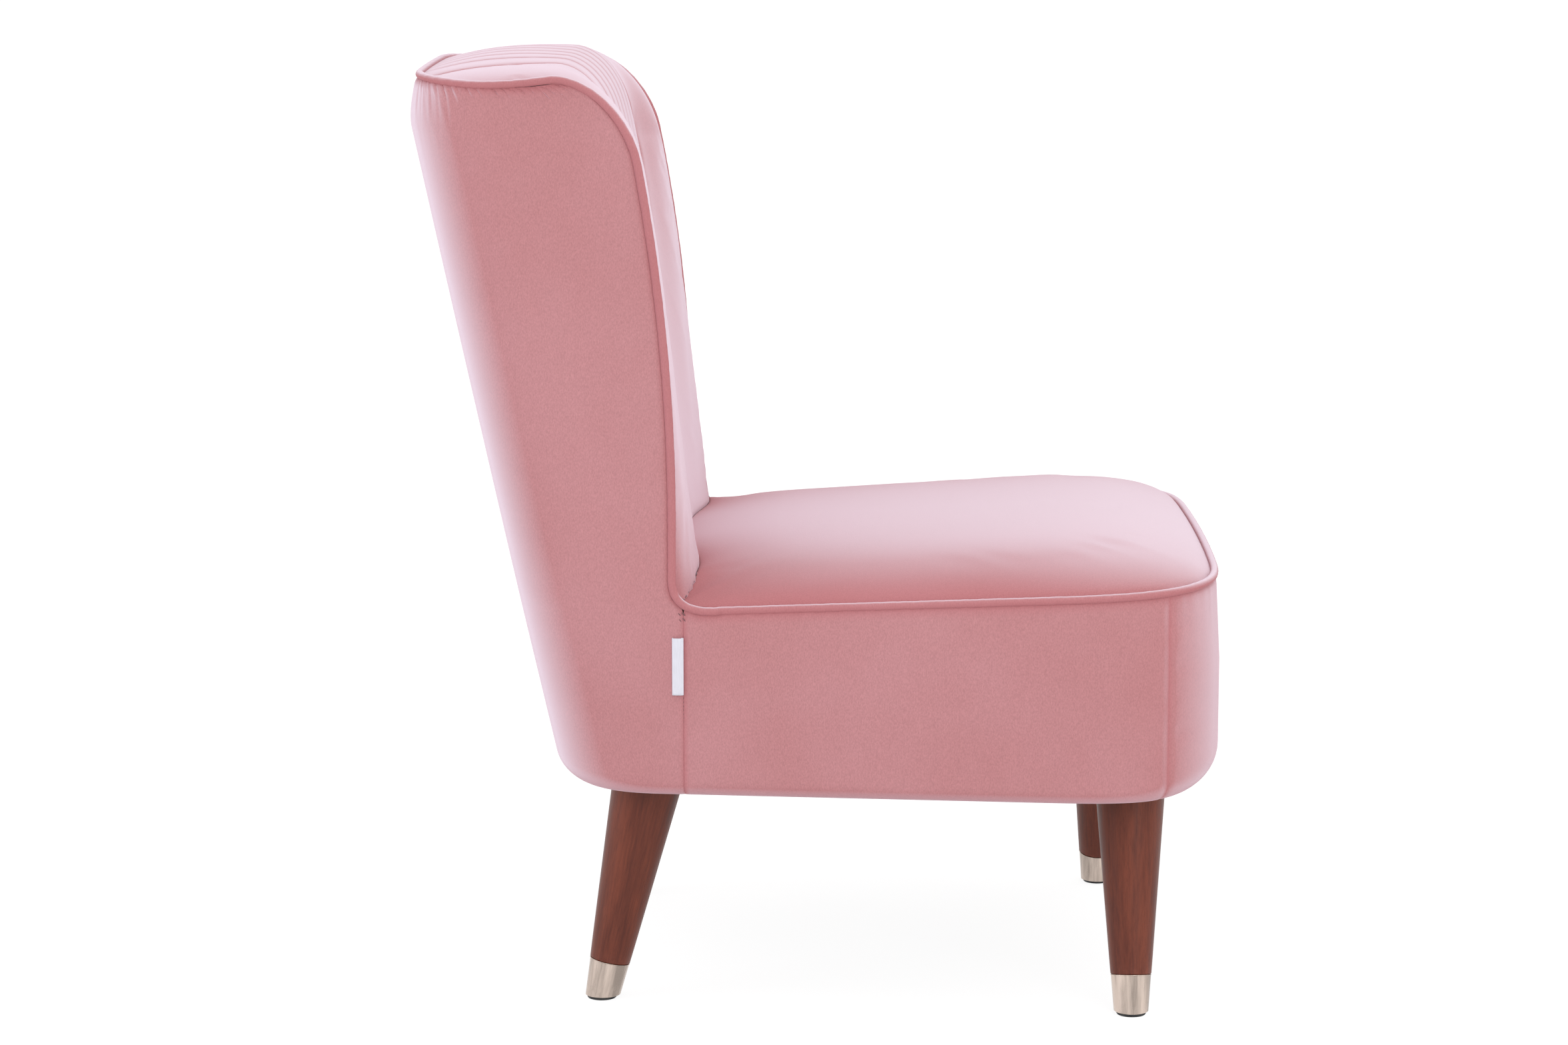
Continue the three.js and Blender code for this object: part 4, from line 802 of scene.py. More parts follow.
def foam_finish(name, foam):
    material, tree, position = new_material(name)
    cells = new_node(tree, "TexVoronoi", {"Vector": position, "Scale": 700.0}).outputs["Distance"]
    tone = noise(tree, position, 14, 3, 0.6)
    aged = colour([c * f for c, f in zip(foam, (0.93, 0.86, 0.7))])
    base = mixed(tree, spread(tree, tone, 0.35, 0.65), colour(foam), aged)
    pitted = mixed(tree, spread(tree, cells, 0.0, 0.5, 0.35, 0.0), base, aged)
    cover_surface(tree, pitted, spread(tree, tone, 0.3, 0.7, 0.85, 0.98), cells, 0.0008, 0.6)
    return material


def plastic_finish(name, plastic):
    material, tree, position = new_material(name)
    speck = noise(tree, position, 1400, 2, 0.6)
    scuffs = noise(tree, position, 300, 4, 0.7, (1, 0.15, 1))
    base = rubbed(tree, position, colour(plastic), [c * 2.4 + 0.02 for c in plastic], 0.6, 400.0)
    cover_surface(tree, base, spread(tree, scuffs, 0.3, 0.7, 0.45, 0.7), speck, 0.0002, 0.4)
    return material


def satin_finish(name, satin):
    material, tree, position = new_material(name)
    threads = noise(tree, position, 900, 2, 0.5, (1, 1, 0.12))
    folds = noise(tree, position, 45, 2, 0.5, (1, 1, 0.4))
    share = spread(tree, threads, 0.35, 0.65, 0.0, 0.5)
    base = mixed(tree, share, colour(satin), colour(satin, 0.86))
    shine = spread(tree, folds, 0.3, 0.7, 0.30, 0.48)
    cover_surface(tree, base, shine, threads, 0.0002, 0.4, Sheen_Weight=0.3)
    return material


def finish_of(name, maker, *values, **settings):
    """A material, made once and shared."""
    if name not in FINISHES:
        FINISHES[name] = maker(name, *values, **settings)
    return FINISHES[name]


def velvet():
    return finish_of("velvet", velvet_finish)


def thread():
    return finish_of("thread", velvet_finish, darker=0.42, tuft_scale=2400.0)


def steel():
    return finish_of("steel", metal_finish, bpy.context.scene.chair_colours.steel, 0.3, 0.5)


# Sizes and colours that can be changed


def length(name, description, value):
    return bpy.props.FloatProperty(
        name=name, description=description, default=value, unit="LENGTH", subtype="DISTANCE"
    )


def count(name, description, value, least):
    return bpy.props.IntProperty(name=name, description=description, default=value, min=least)


def turn(name, description, degrees):
    return bpy.props.FloatProperty(
        name=name,
        description=description,
        default=math.radians(degrees),
        unit="ROTATION",
        subtype="ANGLE",
    )


def power(name, description, value):
    return bpy.props.FloatProperty(name=name, description=description, default=value, unit="POWER")


def tone(name, description, *value):
    return bpy.props.FloatVectorProperty(
        name=name, description=description, subtype="COLOR", size=3, min=0.0, max=1.0, default=value
    )


class CHAIR_PG_sizes(bpy.types.PropertyGroup):
    pleats: count("Flutes", "Flutes between the sewn lines of the back", 7, 1)
    pleat_depth: length("Pleat depth", "How deep the sewn lines lie", 0.0032)
    seat_crown: length("Seat crown", "Height of the seat's shoulder above the welt", 0.0265)
    seat_dome: length("Seat dome", "Rise of the seat's middle above its shoulder", 0.012)
    margin_fullness: length(
        "Margin fullness", "How far the margins of the back stand out at the seat", 0.022
    )
    welt_radius: length("Welt radius", "Radius of the piping", 0.0035)
    welt_sides: count("Welt sides", "Facets round the piping", 12, 6)
    cover_thickness: length("Cover thickness", "Thickness of the velvet with its lining", 0.0016)
    seam_tuck: length("Seam tuck", "How far a cover draws in at its seams", 0.0018)
    stitch_length: length("Stitch length", "Length of one stitch of the corner seams", 0.0042)
    stitch_gap: length("Stitch gap", "Cloth between two stitches", 0.0020)
    thread_radius: length("Thread radius", "Radius of the sewing thread", 0.00045)
    staple_spacing: length(
        "Staple spacing", "Distance between the staples of the dust cover", 0.045
    )


class CHAIR_PG_colours(bpy.types.PropertyGroup):
    velvet: tone("Velvet", "Pile seen square on", 0.535, 0.240, 0.252)
    velvet_brushed: tone("Velvet, brushed", "Pile brushed the other way", 0.585, 0.285, 0.305)
    # Painted sheen: the pale colour painted into the velvet where its surface turns away from the
    # camera; it also tints the shader's sheen
    velvet_painted_sheen: tone("Velvet bloom", "Pile seen along the surface", 0.808, 0.664, 0.745)
    leg_light: tone("Leg wood, light", "Light lines of the grain", 0.190, 0.048, 0.026)
    leg_dark: tone("Leg wood, dark", "Dark lines of the grain", 0.098, 0.023, 0.014)
    ferrule: tone("Ferrule", "Brushed metal of the ferrules", 0.64, 0.53, 0.46)
    glide: tone("Glide", "Plastic under the feet", 0.012, 0.012, 0.013)
    label: tone("Label", "Satin of the blank label", 0.72, 0.72, 0.80)
    foam: tone("Foam", "Filling under the covers", 0.85, 0.79, 0.63)
    frame_light: tone("Frame wood, light", "Light lines of the hidden frame", 0.60, 0.42, 0.24)
    frame_dark: tone("Frame wood, dark", "Dark lines of the hidden frame", 0.42, 0.26, 0.13)
    steel: tone("Steel", "Springs, strips, bolts and staples", 0.50, 0.51, 0.53)
    lining: tone("Lining", "Dust cover and webs", 0.020, 0.020, 0.024)
    felt: tone("Felt", "Pad over the springs", 0.30, 0.26, 0.21)


class CHAIR_PG_stage(bpy.types.PropertyGroup):
    lens: bpy.props.FloatProperty(
        name="Lens", description="Focal length of the camera", default=95.25, unit="CAMERA"
    )
    camera_place: bpy.props.FloatVectorProperty(
        name="Camera place",
        description="Where the camera stands",
        default=(-3.7586, 0.0, 1.0393),
        unit="LENGTH",
        subtype="TRANSLATION",
    )
    camera_turn: turn("Camera turn", "Turn of the view from straight across the chair", 0.46)
    camera_tilt: turn("Camera tilt", "How far the camera looks down", 9.676)
    overhead_power: power("Overhead lamp", "Power of the soft lamp above", 10.0)
    side_power: power("Side lamp", "Power of the soft lamp beside the camera", 17.0)
    rear_power: power("Rear lamp", "Power of the cool lamp behind the chair", 14.0)
    surround: bpy.props.FloatProperty(
        name="Surround", description="Strength of the light from all round", default=0.86
    )


# Covers


def drops_after(wall, roll_rows):
    """Rows down a wall, then round its rolled edge and flat below the chair."""
    return np.concatenate([wall, np.linspace(1, 2, roll_rows + 1)[1:], [2.5, 3.0]])


def seam_pull(distance, width):
    """From 1 at a seam to 0 away from it."""
    return np.exp(-((distance / width) ** 2))


def drawn_in(from_seam, below, depth, width):
    """How far a cover draws in at its upright seams and under its welt."""
    under_welt = UNDER_WELT_DEPTH * seam_pull(below, UNDER_WELT_HEIGHT)
    return np.maximum(depth * seam_pull(from_seam, width), under_welt)


def shade_at_edges(grid, drops, top, from_seam):
    """Painted shade along a cover's seams, under its welt and on its rolled edge, from 0 to 1."""
    beside = seam_pull(from_seam, SHADE_BESIDE_SEAM)
    below = seam_pull(top - grid[..., 2], SHADE_UNDER_WELT)
    rolled = SHADE_ON_ROLL * smooth(np.asarray(drops), 1.0, 1.6)[:, None]
    return np.maximum(np.maximum(beside, below), rolled)


def cover(name, node, grid, out, shade):
    """A velvet cover on a grid, with its painted shade and its finish."""
    piece = shell(name, grid, bpy.context.scene.chair_sizes.cover_thickness, out)
    paint_shade(piece, shade)
    return dress(piece, velvet(), "velvet", node)


def seat_path(up):
    """Round the front of the seat in plan, from one rear seam to the other."""
    return end_path(FRONT_END, up, REAR_SEAM)


def front_path(up):
    return kept(seat_path(up), FRONT_SEAM)


def left_path(up):
    path = seat_path(up)
    return kept(path[path[:, 0] > 0], -FRONT_SEAM, -1)


def right_path(up):
    path = seat_path(up)
    return kept(path[path[:, 0] < 0], -FRONT_SEAM, -1)


class CHAIR_OT_borders(bpy.types.Operator):
    """Makes the front border and the two side borders of the seat"""

    bl_idname = "chair.borders"
    bl_label = "Seat borders"

    levels = 60
    wall_rows = 34
    roll_rows = 12
    seam_share = 0.65  # of the seam tuck
    seam_width = 0.0022
    front_shade = 0.4  # how strong the painted shade is on the face to the front
    parts = (
        ("front_border_cover", "front_border", front_path, 150, 0.4),
        ("side_border_cover_left", "side_border_left", left_path, 96, 1.9),
        ("side_border_cover_right", "side_border_right", right_path, 96, 3.3),
    )

    def execute(self, context):
        tuck = self.seam_share * context.scene.chair_sizes.seam_tuck
        for name, node, path_at, columns, phase in self.parts:
            wall = Wall(path_at, np.linspace(UNDERSIDE, FRONT_WELT_HEIGHT, self.levels), columns)
            along, from_seam = wall.reach()
            forward = wall.at(FRONT_WELT_HEIGHT)[0][:, 1]
            risen = smooth(BORDER_RISE_FORWARD - forward, 0, BORDER_RISE_FORWARD - REAR_SEAM)
            top = welt_height(forward) - BEHIND_WELT + BORDER_RISE * risen

            def inwards(below, wall_share):
                gathers = gathered(along, below, 0.0005, 0.017, phase, reach=0.016)
                drag = gathered(below, from_seam, 0.0010, 0.055, phase, reach=0.020)
                drag = drag * smooth(from_seam, 0, 0.012)
                return drawn_in(from_seam, below, tuck, self.seam_width) + gathers + drag

            drops = drops_after(np.linspace(0, 1, self.wall_rows + 1), self.roll_rows)
            grid = border_grid(wall, top, drops, inwards)
            # Painted shade along the seams, under the welt, on the rolled edge, and lighter over
            # the face to the front
            facing_front = self.front_shade * np.maximum(0, wall.at(UNDERSIDE)[1][:, 1])
            shade = np.maximum(shade_at_edges(grid, drops, top, from_seam), facing_front)
            piece = cover(name, node, placed(grid), 1, shade)
        return {"FINISHED"}


class CHAIR_OT_outside_back(bpy.types.Operator):
    """Makes the outside back, which wraps round the rear and both sides"""

    bl_idname = "chair.outside_back"
    bl_label = "Outside back"

    behind = 0.8 * BEHIND_WELT
    columns = 460
    seam_width = 0.0032
    plain_middle = 0.1  # half the width at the rear that has no puckers

    def path_at(self, up):
        return end_path(REAR_END, up, float(wing_edge(up, self.behind)))

    def execute(self, context):
        tuck = context.scene.chair_sizes.seam_tuck
        level_top = BACK_TOP - self.behind
        bend = BEND_START + (level_top - BEND_START) * np.sin(np.linspace(0, math.pi / 2, 61))
        levels = np.concatenate([np.linspace(UNDERSIDE, BEND_START, 120), bend[1:]])
        wall = Wall(self.path_at, levels, self.columns)
        along, from_seam = wall.reach()
        across, forward = wall.at(level_top)[0].T
        top = top_height(forward) - self.behind
        puckered = (forward < BEND_MIDDLE) * (np.abs(across) > self.plain_middle)
        bend_rows = (level_top - bend[::-1]) / (level_top - UNDERSIDE - SIDE_ROLL)
        wall_rows = np.linspace(bend_rows[-1], 1, 64)[1:]
        drops = drops_after(np.concatenate([bend_rows[::2], wall_rows]), 11)

        def inwards(below, wall_share):
            gathers = gathered(along, below, 0.0007, 0.024, 0.9, reach=0.022)
            puckers = gathered(along + 0.3 * below, below, 0.0011, 0.0085, 0.4, reach=0.013)
            bends = 0.0012 * ripple(along, 0.31, 2.2) * np.sin(math.pi * wall_share)
            bends = bends * smooth(from_seam, 0, 0.03)
            folds = gathers + puckers * puckered + bends
            seams = drawn_in(from_seam, below, tuck, self.seam_width)
            return seams + folds * smooth(below, 0.0, 0.003)

        grid = border_grid(wall, top, drops, inwards)
        # Painted shade along the seams, under the welt and on the rolled edge
        shade = shade_at_edges(grid, drops, top, from_seam)
        piece = cover("outside_back_panel", "outside_back_cover", placed(grid), 1, shade)
        return {"FINISHED"}


def back_bulge(share, up, fullness):
    edge = (1 - np.abs(share) ** EDGE_POWER) ** EDGE_ROOT
    down = np.clip((BEND_START - up) / (BEND_START - CREVICE_HEIGHT), 0, 1)
    pleated = lerp(PLEATED_TOP, PLEATED_FOOT, down)
    risen = smooth(np.abs(share), pleated, lerp(MARGIN_TOP, MARGIN_FOOT, down))
    fading = np.clip((up - CREVICE_HEIGHT) / MARGIN_HEIGHT, 0, 1)
    high = lerp(-BACK_HOLLOW, MARGIN_FULLNESS, risen)
    low = lerp(CREVICE_FULLNESS, fullness, risen)
    return edge * lerp(high, low, (1 - fading) ** 2)


def crevice(share, edge, fullness):
    """Across, forward and up of the line where seat and back meet, at each share."""
    size = np.abs(share)
    inner = CREVICE_HEIGHT - CREVICE_DROP * np.minimum(1, size / CREVICE_END) ** 2
    outer = np.clip((size - CREVICE_END) / (1 - CREVICE_END), 0, 1)
    up = lerp(inner, welt_height(REAR_SEAM) + CREVICE_END_RISE, outer)
    forward = wing_edge(up) + back_bulge(share, up, fullness)
    return share * (half_width(forward, up) - edge), forward, up


def seat_up(across, forward, crown, dome_height):
    width = half_width(forward, FRONT_WELT_HEIGHT) - BEHIND_WELT
    near_side = np.clip(1 - (width - np.abs(across)) / FRONT_CORNER_REACH, 0, 1)
    from_front = front_line(across) - BEHIND_WELT - forward
    near_front = np.clip(1 - from_front / FRONT_CORNER_REACH, 0, 1)
    joined = near_side**FRONT_CORNER_POWER + near_front**FRONT_CORNER_POWER
    near = np.minimum(1, joined ** (1 / FRONT_CORNER_POWER))
    shoulder = crown * (1 - near**SHOULDER_POWER) ** (1 / SHOULDER_ROOT)
    dome = dome_height * (1 - (across / width) ** 2) * (1 - near_front**2)
    return welt_height(forward) + shoulder + np.maximum(0, dome)


class CHAIR_OT_seat(bpy.types.Operator):
    """Makes the crowned cover of the tight seat"""

    bl_idname = "chair.seat"
    bl_label = "Seat"

    columns = 96
    rear_rows = 56
    front_rows = 40
    swell = 0.002  # room for the cloth to fill out
    beside_reach = 0.088  # reach of the painted shade beside the welt
    behind_reach = 0.056  # and before the back

    def painted_shade(self, share, rows, seam_forward):
        """Painted shade beside the welt and by the back, from 0 to 1."""
        forward = rows[..., 1]
        from_side = half_width(forward, FRONT_WELT_HEIGHT) - np.abs(rows[..., 0])
        beside = np.exp(-((np.maximum(0, from_side) / self.beside_reach) ** 1.2))
        beside = beside * (1 - 0.45 * smooth(forward, 0.12, 0.33))
        behind = np.exp(-np.maximum(0, forward - seam_forward) / self.behind_reach)
        behind = (0.5 + 0.48 * smooth(np.abs(share), 0.1, 0.6)) * behind
        return 1 - (1 - beside) * (1 - behind)

    def execute(self, context):
        sizes = context.scene.chair_sizes
        share = np.sin(np.linspace(-0.5, 0.5, self.columns + 1) * math.pi)
        seam = np.stack(crevice(share, BEHIND_WELT, sizes.margin_fullness), axis=1)
        seam_forward, seam_up = seam[:, 1], seam[:, 2]
        side_end = front_line(FRONT_HALF_WIDTH) - FRONT_CORNER_REACH
        crown = sizes.seat_crown - self.swell
        rows = [seam + np.multiply(SEAT_END, more) for more in (1.0, 0.5)]
        for rear in np.linspace(0, 1, self.rear_rows + 1) ** 1.25:
            forward = lerp(seam_forward + 0.0006, side_end, rear)
            across = share * (half_width(forward, FRONT_WELT_HEIGHT) - BEHIND_WELT)
            dip = np.clip(1 - (forward - seam_forward) / CREVICE_DIP_OVER, 0, 1) ** 2
            up = lerp(seat_up(across, forward, crown, sizes.seat_dome), seam_up, dip)
            rows.append(np.stack([across, forward, up], axis=1))
        for angle in np.linspace(0, math.pi / 2, self.front_rows + 1)[1:]:
            end = corner_curve(FRONT_END, FRONT_WELT_HEIGHT, BEHIND_WELT, angle)
            across = share * end[0]
            bow = (front_line(across) - front_line(end[0])) * angle / (math.pi / 2)
            forward = end[1] + bow
            up = seat_up(across, forward, crown, sizes.seat_dome)
            rows.append(np.stack([across, forward, up], axis=1))
        rows = np.array(rows)
        grid = placed(rows)
        # Painted shade beside the welt and before the back
        shade = self.painted_shade(share, rows, seam_forward)
        sewn = np.zeros(grid.shape[:2])
        sewn[:3] = sewn[-1] = sewn[:, 0] = sewn[:, -1] = 1
        grid = settled(grid, sewn, pressure=3.0, slack=0.0, most=0.0012, out=-1)
        piece = cover("seat_top_cover", "seat_cover", grid, -1, shade)
        return {"FINISHED"}


def rear_top_line(share, edge):
    """Across and forward along the rear top welt, at each share of the half width."""
    corner = corner_curve(REAR_END, BACK_TOP, edge)
    across = np.linspace(corner[-1, 0], 0, BOW_STEPS + 1)[1:]
    half = np.vstack([corner, np.stack([across, rear_line(across, BACK_TOP) + edge], axis=1)])
    flat = half_width(BEND_MIDDLE, BACK_TOP) * PLEATED_TOP
    outer = half[half[:, 0] >= flat]
    size = np.abs(share)
    inner_across = np.minimum(1, size / PLEATED_TOP) * outer[-1, 0]
    inner_forward = np.interp(inner_across, half[::-1, 0], half[::-1, 1])
    swept = resampled(outer[::-1], EVEN_STEPS)
    past = np.clip((size - PLEATED_TOP) / (1 - PLEATED_TOP), 0, 1) * EVEN_STEPS
    steps = np.arange(EVEN_STEPS + 1)
    outer_across = np.interp(past, steps, swept[:, 0])
    outer_forward = np.interp(past, steps, swept[:, 1])
    inside = size <= PLEATED_TOP
    across = np.sign(share) * np.where(inside, inner_across, outer_across)
    return across, np.where(inside, inner_forward, outer_forward)


class CHAIR_OT_inside_back(bpy.types.Operator):
    """Makes the pleated inside back, which folds over the top"""

    bl_idname = "chair.inside_back"
    bl_label = "Inside back"

    per_flute = 12
    margin_columns = 44
    top_rows = 20
    bend_rows = 20
    front_rows = 76
    by_margin = (0.6, 0.35, 0.18, 0.08, 0.03)  # share of a sewn line's depth beside the last one
    swell = 0.0012  # room for the cloth to fill out
    fold_width = 0.017
    fold_foot = 0.385
    shade_foot = 0.38  # painted shade at the foot, and less the higher it is
    shade_reach = 0.035
    shade_in_seams = 0.9
    margin_folds = (  # place across, lean inwards, height, and reach up from the foot
        (0.95, 0.3, 0.0016, 0.08),
        (0.905, 0.7, 0.0024, 0.10),
        (0.855, 1.1, 0.0019, 0.08),
    )

    def shares(self, spread_to, flutes):
        """Shares of the half width at which the columns lie, closer together by the sewn lines."""
        within = 0.5 - 0.5 * np.cos(math.pi * np.arange(self.per_flute) / self.per_flute)
        steps = np.concatenate([flute + within for flute in range(flutes)] + [[flutes]])
        inner = spread_to * (2 * steps / flutes - 1)
        outer = lerp(spread_to, 1, np.linspace(0, 1, self.margin_columns + 1)[1:] ** 1.3)
        return np.concatenate([-outer[::-1], inner, outer])

    def sewn_in(self, flutes):
        """From 1 on a sewn line to 0 in the middle of a flute, and fading to 0 on the margins."""
        turn = np.arange(flutes * self.per_flute + 1) / self.per_flute
        within = 0.5 - 0.5 * np.cos(math.pi * (turn % 1))
        inner = 1 - np.abs(np.sin(math.pi * within)) ** 0.35
        margin = np.zeros(self.margin_columns)
        margin[: len(self.by_margin)] = self.by_margin
        return np.concatenate([margin[::-1], inner, margin])

    def folds(self, share, up):
        """Soft upright folds in each margin where it is drawn into the corner."""
        above = np.maximum(0, up - self.fold_foot)
        fold = 0
        for place, lean, height, reach in self.margin_folds:
            away = (np.abs(share) - place + lean * above) / self.fold_width
            fold = fold + height * np.exp(-(away**2) - above / reach)
        return fold

    def execute(self, context):
        sizes = context.scene.chair_sizes
        fullness = sizes.margin_fullness
        flutes = sizes.pleats
        sewn = self.sewn_in(flutes)
        rows = []
        fades = []

        def add(across, forward, up, fade):
            rows.append(np.stack([across, forward, up], axis=1))
            fades.append(fade)

        top_share = self.shares(PLEATED_TOP, flutes)
        crown = TOP_FULLNESS * (1 - np.abs(top_share) ** CROWN_POWER)
        rear_across, rear_forward = rear_top_line(top_share, BEHIND_WELT)
        for front in np.linspace(0, 1, self.top_rows + 1) ** 1.3:
            back = 1 - front
            across = top_share * (half_width(BEND_MIDDLE, BACK_TOP) - BEHIND_WELT)
            forward = lerp(BEND_MIDDLE, rear_forward, back)
            sag = (top_height(forward) - BACK_TOP) * top_share**2
            up = BACK_TOP + sag + crown * (1 - back**TOP_REAR_POWER - CROWN_FALL * front**3)
            add(lerp(across, rear_across, back), forward, up, smooth(front, 0, 0.10))
        bulge = back_bulge(top_share, BEND_START, fullness)
        for step in np.linspace(0, 1, self.bend_rows + 1)[1:]:
            angle = step * math.pi / 2
            out = lerp((1 - CROWN_FALL) * crown, bulge, smooth(step, 0, 1))
            forward = bend_forward(math.cos(angle)) + (BEND_DEPTH + out) * math.sin(angle)
            up = BEND_START + (BEND_HEIGHT + out) * math.cos(angle)
            edge_up = BEND_START + BEND_HEIGHT * math.cos(angle)
            across = top_share * (half_width(forward, edge_up) - BEHIND_WELT)
            add(across, forward, up, 1.0)
        for down in np.linspace(0, 1, self.front_rows + 1)[1:]:
            share = self.shares(lerp(PLEATED_TOP, PLEATED_FOOT, down), flutes)
            up = lerp(BEND_START, crevice(share, BEHIND_WELT, fullness)[2], down)
            forward = wing_edge(up) + back_bulge(share, up, fullness) + self.folds(share, up)
            across = share * (half_width(forward, up) - BEHIND_WELT)
            add(across, forward, up, smooth(1 - down, 0, 0.05))
        rows += [rows[-1] + np.multiply(BACK_END, more) for more in (0.5, 1.0)]
        fades += [0.0, 0.0]
        grid = placed(np.array(rows))
        normal = -grid_normals(grid)
        fades = np.array(fades)[:, None]
        depth = sizes.pleat_depth * sewn * fades
        swell = self.swell * (1 - np.clip(sewn * 2, 0, 1)) * fades
        grid = grid - normal * (depth + swell)[..., None]
        held = np.zeros(grid.shape[:2])
        lines = self.margin_columns + self.per_flute * np.arange(flutes + 1)
        held[:, lines] = 1
        held[0] = held[:, 0] = held[:, -1] = 1
        held[-3:] = 1
        grid = settled(grid, held, pressure=2.0, slack=0.001, most=0.0020, out=-1)
        # Painted shade: low down by the seat, more in the margins, and along the sewn lines of the
        # pleats
        low = np.exp(-np.maximum(0, grid[..., 2] - self.shade_foot) / self.shade_reach)
        in_margins = 0.45 * smooth(np.abs(top_share), 0.80, 0.95) + 0.2
        shade = np.maximum(low * in_margins, self.shade_in_seams * sewn * fades)
        piece = cover("pleated_back_cover", "inside_back_cover", grid, -1, shade)
        return {"FINISHED"}


def welt_line():
    """Points along the welt and the direction out of the chair at each."""
    points = []
    outs = []

    def add_plan(path, count, height_at):
        even = resampled(path, count)
        along = np.gradient(even, axis=0)
        for (x, y), (ax, ay) in zip(even, along):
            points.append((x, y, float(height_at(y))))
            outs.append((-ay, ax, 0))

    def up_the_side(side):
        start = np.array([TURN_FORWARD, welt_height(TURN_FORWARD)])
        corner = np.array([wing_forward(TURN_BOTTOM), TURN_BOTTOM])
        end = np.array([wing_forward(TURN_HEIGHT), TURN_HEIGHT])
        t = np.linspace(0, 1, 41)[1:-1, None]
        turn = (1 - t) ** 2 * start + 2 * t * (1 - t) * corner + t**2 * end
        wing_up = np.linspace(TURN_HEIGHT, BEND_START, 170)
        wing = np.stack([wing_forward(wing_up), wing_up], axis=1)
        angle = np.linspace(0, math.pi / 2, 66)[1:-1]
        bend_up = BEND_START + BEND_HEIGHT * np.sin(angle)
        bend = np.stack([wing_edge(bend_up), bend_up], axis=1)
        line = np.vstack([turn, wing, bend])
        for forward, up in line if side > 0 else line[::-1]:
            points.append((side * float(half_width(forward, up)), forward, up))
            outs.append((side, 0, 0))

    add_plan(end_path(FRONT_END, FRONT_WELT_HEIGHT, TURN_FORWARD), 760, welt_height)
    up_the_side(1)
    add_plan(end_path(REAR_END, BACK_TOP, BEND_MIDDLE), 380, top_height)
    up_the_side(-1)
    return placed(points), placed(outs)


class CHAIR_OT_piping(bpy.types.Operator):
    """Makes the covered welt that runs round the seat and the back"""

    bl_idname = "chair.piping"
    bl_label = "Welt"

    slant = 0.004  # how far the gathers of the cord's cover run aslant
    gathers = ((0.00012, 0.013, 0.3), (0.0001, 0.047, 1.3))  # height, pitch and phase

    def execute(self, context):
        sizes = context.scene.chair_sizes
        points, outs = welt_line()
        outs = unit(outs)
        along = np.cumsum(np.linalg.norm(np.roll(points, -1, axis=0) - points, axis=1))
        slant = along[:, None] + self.slant * np.sin(angles_round(sizes.welt_sides))
        gathers = sum(height * ripple(slant, *wave) for height, *wave in self.gathers)
        radius = sizes.welt_radius * 1.02 + gathers
        piece = tube("piping", points, outs, radius, sizes.welt_sides)
        normals = np.zeros(len(piece.data.vertices) * 3, np.float32)
        piece.data.vertices.foreach_get("normal", normals)
        # Painted shade on the sides and underside of the welt; only its top keeps the painted sheen
        paint_shade(piece, 1 - smooth(normals[2::3], 0.25, 0.85))
        dress(piece, velvet(), "velvet", "welt")
        return {"FINISHED"}


STITCH_SIDES = 6
# Place along a stitch, and its radius there as a share
STITCH_PROFILE = ((-0.5, 0.35), (-0.4, 0.85), (-0.15, 1.0), (0.15, 1.0), (0.4, 0.85), (0.5, 0.35))


def stitch_mesh(name, lines, radius, length, gap):
    """Separate short stitches along lines of points, each with the way out of the cloth."""
    points = []
    faces = []
    rings = len(STITCH_PROFILE)
    for line, outs in lines:
        count = max(1, int(reach_along(line)[-1] / (length + gap)))
        even = resampled(np.hstack([line, outs]), count * 2)
        for i in range(count):
            start, middle, end = even[2 * i, :3], even[2 * i + 1], even[2 * i + 2, :3]
            ahead = unit(end - start)
            out = unit(middle[3:] - ahead * np.dot(middle[3:], ahead))
            third = np.cross(ahead, out)
            faces += ring_faces(rings, STITCH_SIDES, first=len(points), capped=True)
            for along, scale in STITCH_PROFILE:
                lift = out * radius * (1.0 - 2.4 * abs(along))
                centre = middle[:3] + ahead * along * length + lift
                for angle in angles_round(STITCH_SIDES):
                    spoke = math.cos(angle) * out + math.sin(angle) * third
                    points.append(centre + radius * scale * spoke)
    return new_object(name, points, faces)


